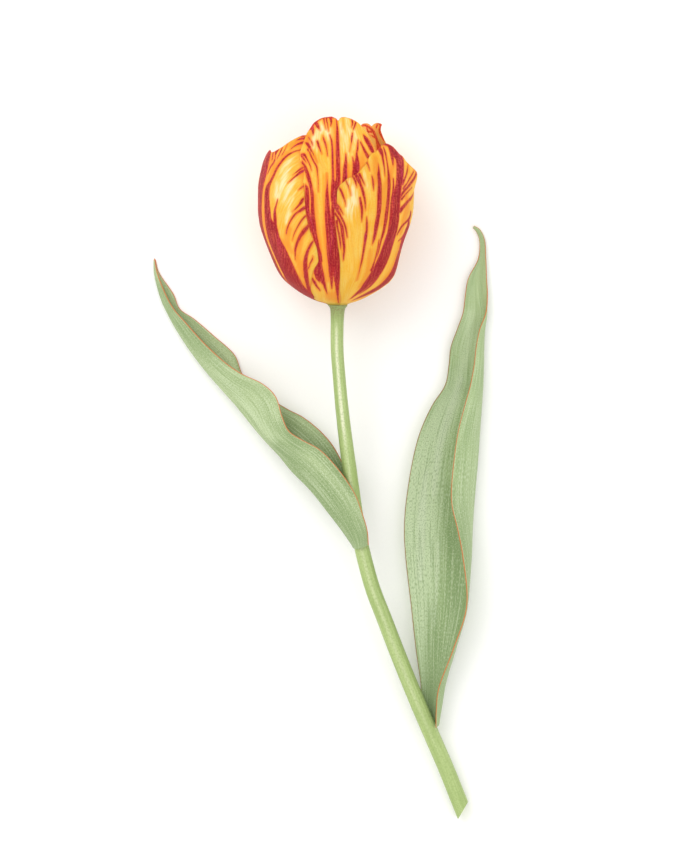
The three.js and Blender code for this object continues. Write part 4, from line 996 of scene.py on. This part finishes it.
def make_stem(material):
    centres, tangents, radii = stem_rings()
    normal = unit(np.array([-CUT_DIRECTION[1], CUT_DIRECTION[0], 0]))
    if tangents[-1] @ normal < 0:
        normal = -normal

    def place_at(turn, row):
        tangent = tangents[row]
        side = unit(np.cross([0, 0, 1], tangent))
        up = np.cross(tangent, side)
        ribbed = 1
        for count, rib, turned in STEM_RIBS:
            ribbed = ribbed + rib * np.cos(count * turn + turned)
        reach = (radii[row] * ribbed)[:, None]
        points = centres[row] + reach * (np.cos(turn)[:, None] * side + np.sin(turn)[:, None] * up)
        beyond = (points - CUT_POINT) @ normal
        slide = np.maximum(beyond, 0) / (tangent @ normal)
        points = points - slide[:, None] * tangent
        return points, {"from_cut": np.maximum(-beyond, 0), "down": BLOOM_BASE[1] - centres[row][:, 1]}

    piece = tube("stem_skin", STEM_SIDES, len(centres) - 1, place_at)
    set_down(piece)
    piece.data.materials.append(material)
    smooth(piece, CREASE)
    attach(piece, "root")
    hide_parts("stem")


# The parts inside the bloom

def on_axis(height):
    return 0 * height


def spindle(name, part, material, shape, offset_at=on_axis, angle=0):
    """A round part along the bloom's axis. Its reach round its own middle is its radius times what
    shape gives, and offset_at says how far that middle is from the axis, at the angle."""
    heights, radii = outline_of(part)

    def place_at(turn, row):
        height = heights[row]
        reach = radii[row] * shape(turn, height)
        offset = offset_at(height)
        across = offset * math.sin(angle) + reach * np.sin(turn)
        up = offset * math.cos(angle) + reach * np.cos(turn)
        return in_bloom(across, height, up), {}

    piece = tube(name, part["sides"], part["steps"], place_at)
    smooth(piece, WIDE_CREASE)
    piece.data.materials.append(material)
    return piece


def join(name, pieces):
    pick(*pieces)
    bpy.ops.object.join()
    pieces[0].name = name
    return pieces[0]


def make_stamens(filament_material, anther_material):
    foot = FILAMENT["profile"][0][0]

    def leaning(height):
        return STAMEN_RING + (height - foot) * STAMEN_LEAN

    def evenly_round(turn, height):
        return 1 + 0 * turn

    def furrowed(facing):
        """The shape of an anther, with a furrow on the side that faces out and on the one behind."""
        def shape(turn, height):
            furrow = ANTHER_FURROW * np.abs(np.cos(turn - facing)) ** FURROW_SHARPNESS
            grain = np.sin(ANTHER_WAVES[0] * height + ANTHER_WAVES[1] * turn)
            return 1 - furrow + ANTHER_GRAIN * grain

        return shape

    pieces = [spindle("disc", DISC, filament_material, evenly_round)]
    for i in range(STAMEN_COUNT):
        angle = math.radians(360 / STAMEN_COUNT * (i + 0.5))
        pieces += [
            spindle("filament", FILAMENT, filament_material, evenly_round, leaning, angle),
            spindle("anther", ANTHER, anther_material, furrowed(angle), leaning, angle),
        ]
    piece = join("stamens_skin", pieces)
    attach(piece, "root")
    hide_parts("stamens")


def make_pistil(ovary_material, stigma_material):
    def ridged(turn, height):
        return 1 + OVARY_RIDGE * np.cos(PISTIL_PARTS * turn)

    def lobed(turn, height):
        lobe = STIGMA_WAIST + (1 - STIGMA_WAIST) * np.cos(PISTIL_PARTS / 2 * turn) ** 2
        return lobe * (1 + STIGMA_FRILL * np.sin(STIGMA_FRILLS * turn))

    ovary = spindle("ovary", OVARY, ovary_material, ridged)
    stigma = spindle("stigma", STIGMA, stigma_material, lobed)
    piece = join("pistil_skin", [ovary, stigma])
    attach(piece, "root")
    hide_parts("pistil")


# The leaves

def make_leaf(leaf, material):
    name = leaf["name"]
    stations = np.array(leaf["stations"], float)
    # The last curve carries the far edge's height and the bulge of each half
    keel, near, far, bulge = (guide(stations[:, first:first + 3]) for first in (0, 3, 6, 8))
    piece = grid(name + "_skin", LEAF_COLUMNS, LEAF_ROWS)
    flat = places(piece)
    across = flat[:, 0]
    along = (flat[:, 1] + 1) / 2
    root = keel(along)
    tangent = unit(keel(np.minimum(along + KEEL_STEP, 1)) - keel(np.maximum(along - KEEL_STEP, 0)))

    def half_at(edge, share, swell):
        chord = edge(along) - root
        out = unit(np.cross(tangent, chord))
        return root + chord * share[:, None] + out * (4 * swell * share * (1 - share))[:, None]

    def trough_at(place):
        share = np.abs(place)
        swell = np.where(place > 0, bulge(along)[:, 1], -bulge(along)[:, 2]) * leaf["hand"]
        return np.where((place > 0)[:, None], half_at(near, share, swell), half_at(far, share, swell))

    points = trough_at(across)
    rounded = np.abs(across) < KEEL_ROUNDING
    t = np.clip(across / KEEL_ROUNDING, -1, 1)[:, None] / 2 + 0.5
    ends = [trough_at(np.full(len(t), side * KEEL_ROUNDING)) for side in (-1, 1)]
    bend = (1 - t) ** 2 * ends[0] + 2 * t * (1 - t) * root + t ** 2 * ends[1]
    points[rounded] = bend[rounded]
    put(piece, points)

    width = np.where(across > 0, np.linalg.norm(near(along) - root, axis=1),
                     np.linalg.norm(far(along) - root, axis=1))
    keel_points = keel(np.linspace(0, 1, KEEL_STEPS + 1))
    length = np.linalg.norm(np.diff(keel_points, axis=0), axis=1).sum()
    margin = np.minimum((1 - np.abs(across)) * width, (1 - along) * length)
    store(piece, "rim", margin / leaf["rim"])
    browned = np.where(across < 0, leaf["brown_margin"], 0)
    store(piece, "brown", browned * (1 - step(along, BROWN_UNTIL, GREEN_FROM)))
    # pale streaks that are partly painted highlights, painted light and painted shade
    for key, strokes in (("light", LEAF_PALE_STREAKS_AND_HIGHLIGHTS), ("painted_light", LEAF_PAINTED_LIGHT), ("shade", LEAF_SHADES)):
        lines = [line_through(stroke) for stroke in strokes[name]]
        store(piece, key, reach_of(lines, points[:, 0], points[:, 1], LEAF_STROKE_REACH))
    lay_chart(piece, across * LEAF_CHART_WIDTH, along * length / CHART_UNIT)

    share = LEAF_THIN + (1 - LEAF_THIN) * step(margin, 0, LEAF_MARGIN_REACH)
    thicken(piece, LEAF_THICKNESS, share, offset=0)
    set_down(piece)
    piece.data.materials.append(material)
    smooth(piece, WIDE_CREASE)
    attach(piece, "root")
    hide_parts(name)


# Materials

def paint(red, green, blue, light=LIGHT):
    """A colour given as it looks in that much light, from 0 to 255, as the shader takes it."""
    shares = [value / BRIGHTEST for value in (red, green, blue)]
    linear = [s / 12.92 if s <= 0.04045 else ((s + 0.055) / 1.055) ** 2.4 for s in shares]
    most = max(light, *linear)
    return tuple(value / most for value in linear) + (1,)


class Nodes:
    """A material's node tree, with short calls for the nodes that it is built from. Whatever goes
    into a node is a value or what another node gives."""

    def __init__(self, name):
        self.material = bpy.data.materials.new(name)
        self.material.use_nodes = True
        self.tree = self.material.node_tree
        self.shader = self.tree.nodes["Principled BSDF"]

    def feed(self, node, inputs):
        for socket, value in inputs.items():
            if isinstance(value, bpy.types.NodeSocket):
                self.tree.links.new(value, node.inputs[socket])
            else:
                node.inputs[socket].default_value = value

    def new(self, kind, inputs=None, **settings):
        node = self.tree.nodes.new(kind)
        for key, value in settings.items():
            setattr(node, key, value)
        self.feed(node, inputs or {})
        return node

    def coordinates(self, kind):
        return self.new("ShaderNodeTexCoord").outputs[kind]

    def attribute(self, name):
        return self.new("ShaderNodeAttribute", attribute_name=name).outputs["Fac"]

    def noise(self, vector, scale, detail):
        inputs = {"Vector": vector, "Scale": scale, "Detail": detail}
        return self.new("ShaderNodeTexNoise", inputs).outputs["Fac"]

    def streaks(self, across, along, detail=2):
        """Noise that follows the piece's own chart, squeezed by a number each way."""
        inputs = {"Vector": self.coordinates("UV"), "Scale": (across, along, 1)}
        return self.noise(self.new("ShaderNodeMapping", inputs).outputs["Vector"], 1, detail)

    def math(self, operation, *values):
        return self.new("ShaderNodeMath", dict(enumerate(values)), operation=operation).outputs["Value"]

    def between(self, value, low, high, to_low=0, to_high=1):
        """The value's place between low and high, eased, from to_low to to_high."""
        inputs = {"Value": value, "From Min": low, "From Max": high, "To Min": to_low, "To Max": to_high}
        return self.new("ShaderNodeMapRange", inputs, interpolation_type="SMOOTHSTEP").outputs["Result"]

    def mix(self, share, first, second):
        # The colours are in inputs 6 and 7 and in output 2
        inputs = {"Factor": share, 6: first, 7: second}
        return self.new("ShaderNodeMix", inputs, data_type="RGBA").outputs[2]

    def layered(self, colour, *layers):
        """A colour under layers, each given as how much it covers and its own colour."""
        for share, cover in layers:
            colour = self.mix(share, colour, cover)
        return colour

    def bump(self, height, distance, strength):
        """Relief of the surface, with its distance in millimetres."""
        inputs = {"Height": height, "Distance": distance * MM, "Strength": strength}
        self.feed(self.shader, {"Normal": self.new("ShaderNodeBump", inputs).outputs["Normal"]})


def petal_material(name, light, depth, fade, painted_glow):
    """Yellow silk with red flames, feathered along the petal's fine veins, as it looks in that light; a lower
    light paints it brighter, as painted light. Depth is the share of the light that goes into it. The green
    and blue of its yellows are raised by fade, painted light that makes up for light that turned red on its
    way there, and the last argument is the strength of a painted glow, an emission that stands in for what
    comes through the petal."""
    skin = Nodes(name)

    def deep(red, green, blue):
        return paint(red, green, blue, light)

    def raised(value):
        return BRIGHTEST * (value / BRIGHTEST) ** (1 - fade)

    def tint(red, green, blue):
        return deep(red, raised(green), raised(blue))

    veins = skin.streaks(7, 0.6, detail=3)
    threads = skin.streaks(17, 1.6)
    clouds = skin.streaks(1.4, 0.7)
    grain = skin.streaks(16, 14)
    push = skin.math("ADD", skin.math("MULTIPLY_ADD", veins, 1.2, -0.6),
                     skin.math("MULTIPLY_ADD", threads, 1.2, -0.6))
    reach = skin.math("MULTIPLY_ADD", push, 0.5, skin.attribute("flame_reach"))
    wash_and_shade = skin.math("MULTIPLY_ADD", push, 2, skin.attribute("wash_and_shade"))
    shine = skin.math("MULTIPLY_ADD", push, 5, skin.attribute("light"))
    root = skin.math("MULTIPLY_ADD", threads, 1, skin.attribute("height"))
    rim = skin.math("MULTIPLY_ADD", veins, 0.3, skin.attribute("margin"))

    ground = skin.layered(
        skin.mix(skin.between(clouds, 0.3, 0.7), tint(252, 182, 52), tint(254, 196, 76)),
        (skin.between(threads, 0.4, 0.66, 0, 0.5), tint(253, 214, 108)),
        (skin.between(grain, 0.36, 0.5, 0.35, 0), tint(246, 166, 54)),
        (skin.between(veins, 0.45, 0.7, 0, 0.4), tint(248, 164, 44)),
        # pale streaks and their cream middle, partly painted highlights; orange washes, partly painted shade;
        # and the glow round the flames
        (skin.between(shine, -3.2, 1, 0, 0.9), tint(253, 215, 116)),
        (skin.between(shine, -1.4, 1.4, 0, 0.9), tint(252, 232, 180)),
        (skin.between(wash_and_shade, -1.6, 0.6, 0, 0.75), tint(248, 150, 46)),
        (skin.between(reach, -0.9, 0.05, 0, 0.75), tint(244, 124, 44)),
        # the green of the petal's root
        (skin.math("MULTIPLY", skin.between(root, 1.2, 2.2, 1, 0), 0.7), tint(176, 164, 76)),
    )
    deep_share = skin.between(skin.math("MULTIPLY_ADD", push, 1.6, reach), 0.05, 1)
    flame = skin.layered(
        skin.mix(skin.between(threads, 0.42, 0.68), deep(190, 38, 42), deep(220, 88, 60)),
        (deep_share, deep(164, 30, 38)),
        (skin.between(veins, 0.52, 0.66, 0, 0.6), deep(206, 58, 84)),
        (skin.between(threads, 0.5, 0.62, 0, 0.7), deep(222, 92, 64)),
        (skin.between(grain, 0.48, 0.64, 0, 0.6), deep(136, 20, 32)),
        (skin.between(grain, 0.34, 0.48, 0.3, 0), deep(224, 96, 84)),
    )
    colour = skin.layered(
        ground,
        (skin.between(reach, -0.12, 0.12), flame),
        (skin.between(rim, 0.2, 0.5, 0.5, 0), deep(206, 66, 44)),
    )
    skin.feed(skin.shader, {
        "Base Color": colour,
        "Roughness": skin.between(veins, 0.3, 0.7, 0.52, 0.64),
        "IOR": 1.35,
        "Specular IOR Level": 0.2,
        "Subsurface Weight": depth,
        "Subsurface Radius": (1, 0.6, 0.3),
        "Subsurface Scale": 1.6 * MM,
        "Emission Color": PAINTED_GLOW_COLOUR,
        "Emission Strength": painted_glow,
    })
    skin.bump(skin.math("MULTIPLY_ADD", veins, 0.7, skin.math("MULTIPLY", threads, 0.3)), 0.25, 0.6)
    return skin.material


def leaf_material(name, light, middle, dark, sheen):
    """Leaf green with parallel veins, a pale bloom of wax, pale streaks that are partly painted highlights,
    painted light on pale areas, painted shade in the hollows and a thin orange margin.
    """
    skin = Nodes(name)
    veins = skin.streaks(7, 0.12, detail=3)
    threads = skin.streaks(24, 0.5)
    clouds = skin.streaks(1.4, 0.5)
    grain = skin.streaks(40, 18)
    # painted shade in the hollows, painted light on pale areas, and pale streaks that are partly painted
    # highlights
    painted_shade = skin.math("MULTIPLY_ADD", veins, 3, skin.attribute("shade"))
    painted_light = skin.math("MULTIPLY_ADD", veins, 4, skin.attribute("painted_light"))
    pale_streak_and_highlight = skin.math("MULTIPLY_ADD", veins, 3, skin.attribute("light"))
    rim = skin.math("MULTIPLY_ADD", threads, 0.4, skin.attribute("rim"))
    rim_colour = skin.mix(skin.attribute("brown"), paint(214, 118, 62), paint(150, 116, 72))
    colour = skin.layered(
        skin.mix(skin.between(veins, 0.3, 0.7), middle, light),
        (skin.between(clouds, 0.35, 0.75, 0, 0.4), dark),
        # painted shade, painted light, and pale streaks that are partly painted highlights
        (skin.between(painted_shade, -5, 3.5, 0, 0.75), dark),
        (skin.between(painted_light, -3, 4.5, 0, 0.85), paint(224, 240, 198)),
        (skin.between(pale_streak_and_highlight, -0.4, 2, 0, 0.85), paint(228, 240, 206)),
        (skin.between(threads, 0.48, 0.66, 0, 0.5), paint(214, 228, 186)),
        (skin.between(threads, 0.34, 0.48, 0.45, 0), dark),
        (skin.between(grain, 0.46, 0.66, 0, 0.55), dark),
        (skin.between(grain, 0.34, 0.48, 0.45, 0), paint(214, 228, 190)),
        (skin.between(rim, 0.85, 1.35, 0.95, 0), rim_colour),
    )
    skin.feed(skin.shader, {"Base Color": colour, "Roughness": sheen, "Specular IOR Level": 0.3})
    skin.bump(skin.math("MULTIPLY_ADD", veins, 0.8, skin.math("MULTIPLY", threads, 0.2)), 0.35, 0.7)
    return skin.material


def stem_material():
    """Fresh green, with a painted highlight along the top, and darker and reddish just under the bloom."""
    skin = Nodes("stem")
    fibres = skin.streaks(34, 9)
    clouds = skin.streaks(5, 14)
    grain = skin.streaks(30, 280)
    turn = skin.new("ShaderNodeSeparateXYZ", {0: skin.coordinates("UV")}).outputs["X"]
    # a painted highlight: a pale line a little to one side of the top, fading down the stem
    aside = skin.math("ABSOLUTE", skin.math("SUBTRACT", turn, PAINTED_HIGHLIGHT_TURN))
    highlight_stripe = skin.math("MULTIPLY_ADD", fibres, 0.06, aside)
    down = skin.math("MULTIPLY_ADD", fibres, 3, skin.attribute("down"))
    painted_highlight = skin.math("MULTIPLY", skin.between(down, 5, 16), skin.between(down, 44, 62, 1, 0.3))
    painted_highlight = skin.math("MULTIPLY", painted_highlight, skin.between(down, 150, 190, 1, 0))
    flecks = skin.math("MULTIPLY", skin.between(grain, 0.46, 0.6), skin.between(down, 1, 7, 0.6, 0))
    flesh = skin.mix(skin.between(grain, 0.4, 0.7), paint(206, 220, 150), paint(170, 192, 110))
    colour = skin.layered(
        skin.mix(skin.between(fibres, 0.3, 0.7), paint(168, 191, 115), paint(190, 209, 140)),
        (skin.between(clouds, 0.4, 0.7, 0, 0.5), paint(160, 184, 108)),
        # the painted highlight along the top
        (skin.math("MULTIPLY", skin.between(highlight_stripe, 0.03, 0.1, 1, 0), painted_highlight), paint(240, 243, 204)),
        (skin.between(grain, 0.48, 0.62, 0, 0.4), paint(144, 168, 96)),
        (skin.between(down, 2, 11, 0.75, 0), paint(146, 164, 98)),
        (flecks, paint(142, 98, 66)),
        (skin.between(skin.attribute("from_cut"), 0.02, 0.06, 1, 0), flesh),
    )
    skin.feed(skin.shader, {"Base Color": colour, "Roughness": 0.42, "Specular IOR Level": 0.35})
    skin.bump(fibres, 0.2, 0.5)
    return skin.material


def plain_material(name, first, second, scale, roughness, relief):
    """Two colours in fine grains, for the parts inside the bloom."""
    skin = Nodes(name)
    grains = skin.noise(skin.coordinates("Object"), scale, 3)
    colour = skin.mix(skin.between(grains, 0.35, 0.65), first, second)
    skin.feed(skin.shader, {"Base Color": colour, "Roughness": roughness})
    skin.bump(grains, relief, 0.8)
    return skin.material


def table_material():
    """Nearly white, in fine grains."""
    top = Nodes("table top")
    cloth = top.noise(top.coordinates("Object"), 900, 2)
    colour = top.mix(cloth, paint(249, 248, 246, 1), paint(252, 251, 249, 1))
    top.feed(top.shader, {"Base Color": colour, "Roughness": 0.9, "Specular IOR Level": 0.1})
    return top.material


# The table, the light and the camera

def set_table():
    bpy.ops.object.select_all(action="DESELECT")
    bpy.ops.mesh.primitive_plane_add(size=TABLE_SIZE)
    floor = bpy.context.object
    floor.name = "table"
    floor.data.materials.append(table_material())


def set_lights():
    world = bpy.data.worlds.new("studio")
    world.use_nodes = True
    sky = world.node_tree.nodes["Background"]
    sky.inputs["Color"].default_value = (1, 1, 1, 1)
    sky.inputs["Strength"].default_value = SKY_STRENGTH
    bpy.context.scene.world = world
    for name, place, width, power in LAMPS:
        data = bpy.data.lights.new(name, "AREA")
        data.size = width
        data.energy = power
        lamp = bpy.data.objects.new(name, data)
        lamp.location = place
        lamp.rotation_euler = (-Vector(place)).to_track_quat("-Z", "Y").to_euler()
        bpy.context.scene.collection.objects.link(lamp)


def set_camera():
    data = bpy.data.cameras.new("camera")
    data.lens = LENS
    data.sensor_width = SENSOR
    data.clip_end = VIEW_REACH
    camera = bpy.data.objects.new("camera", data)
    distance = PICTURE_HEIGHT * PIXEL * LENS / SENSOR
    camera.location = VIEW_CENTRE + Vector((0, 0, distance))
    bpy.context.scene.collection.objects.link(camera)
    bpy.context.scene.camera = camera
    bpy.context.scene.view_settings.view_transform = "Standard"


set_camera()
set_table()
set_lights()
# The inside of the petals is a copy painted brighter and less red, with a painted glow: painted light that
# makes up for the shade inside the bloom
petal_outside = petal_material("petal outside", light=LIGHT, depth=0.35, fade=0, painted_glow=0)
petal_inside = petal_material("petal inside", light=LIGHT_INSIDE, depth=0, fade=0.4, painted_glow=0.05)
for petal in PETALS:
    make_petal(petal, petal_outside, petal_inside)
make_stem(stem_material())
for leaf in LEAVES:
    light, middle, dark = (paint(*green) for green in leaf["greens"])
    make_leaf(leaf, leaf_material(leaf["name"], light, middle, dark, leaf["sheen"]))
make_stamens(
    plain_material("filament", paint(238, 222, 130), paint(206, 190, 92), 900, 0.5, 0.1),
    plain_material("anther", paint(44, 28, 44), paint(92, 62, 66), 2600, 0.85, 0.25),
)
make_pistil(
    plain_material("ovary", paint(206, 214, 146), paint(182, 198, 118), 700, 0.45, 0.1),
    plain_material("stigma", paint(246, 236, 176), paint(226, 210, 138), 2400, 0.8, 0.2),
)
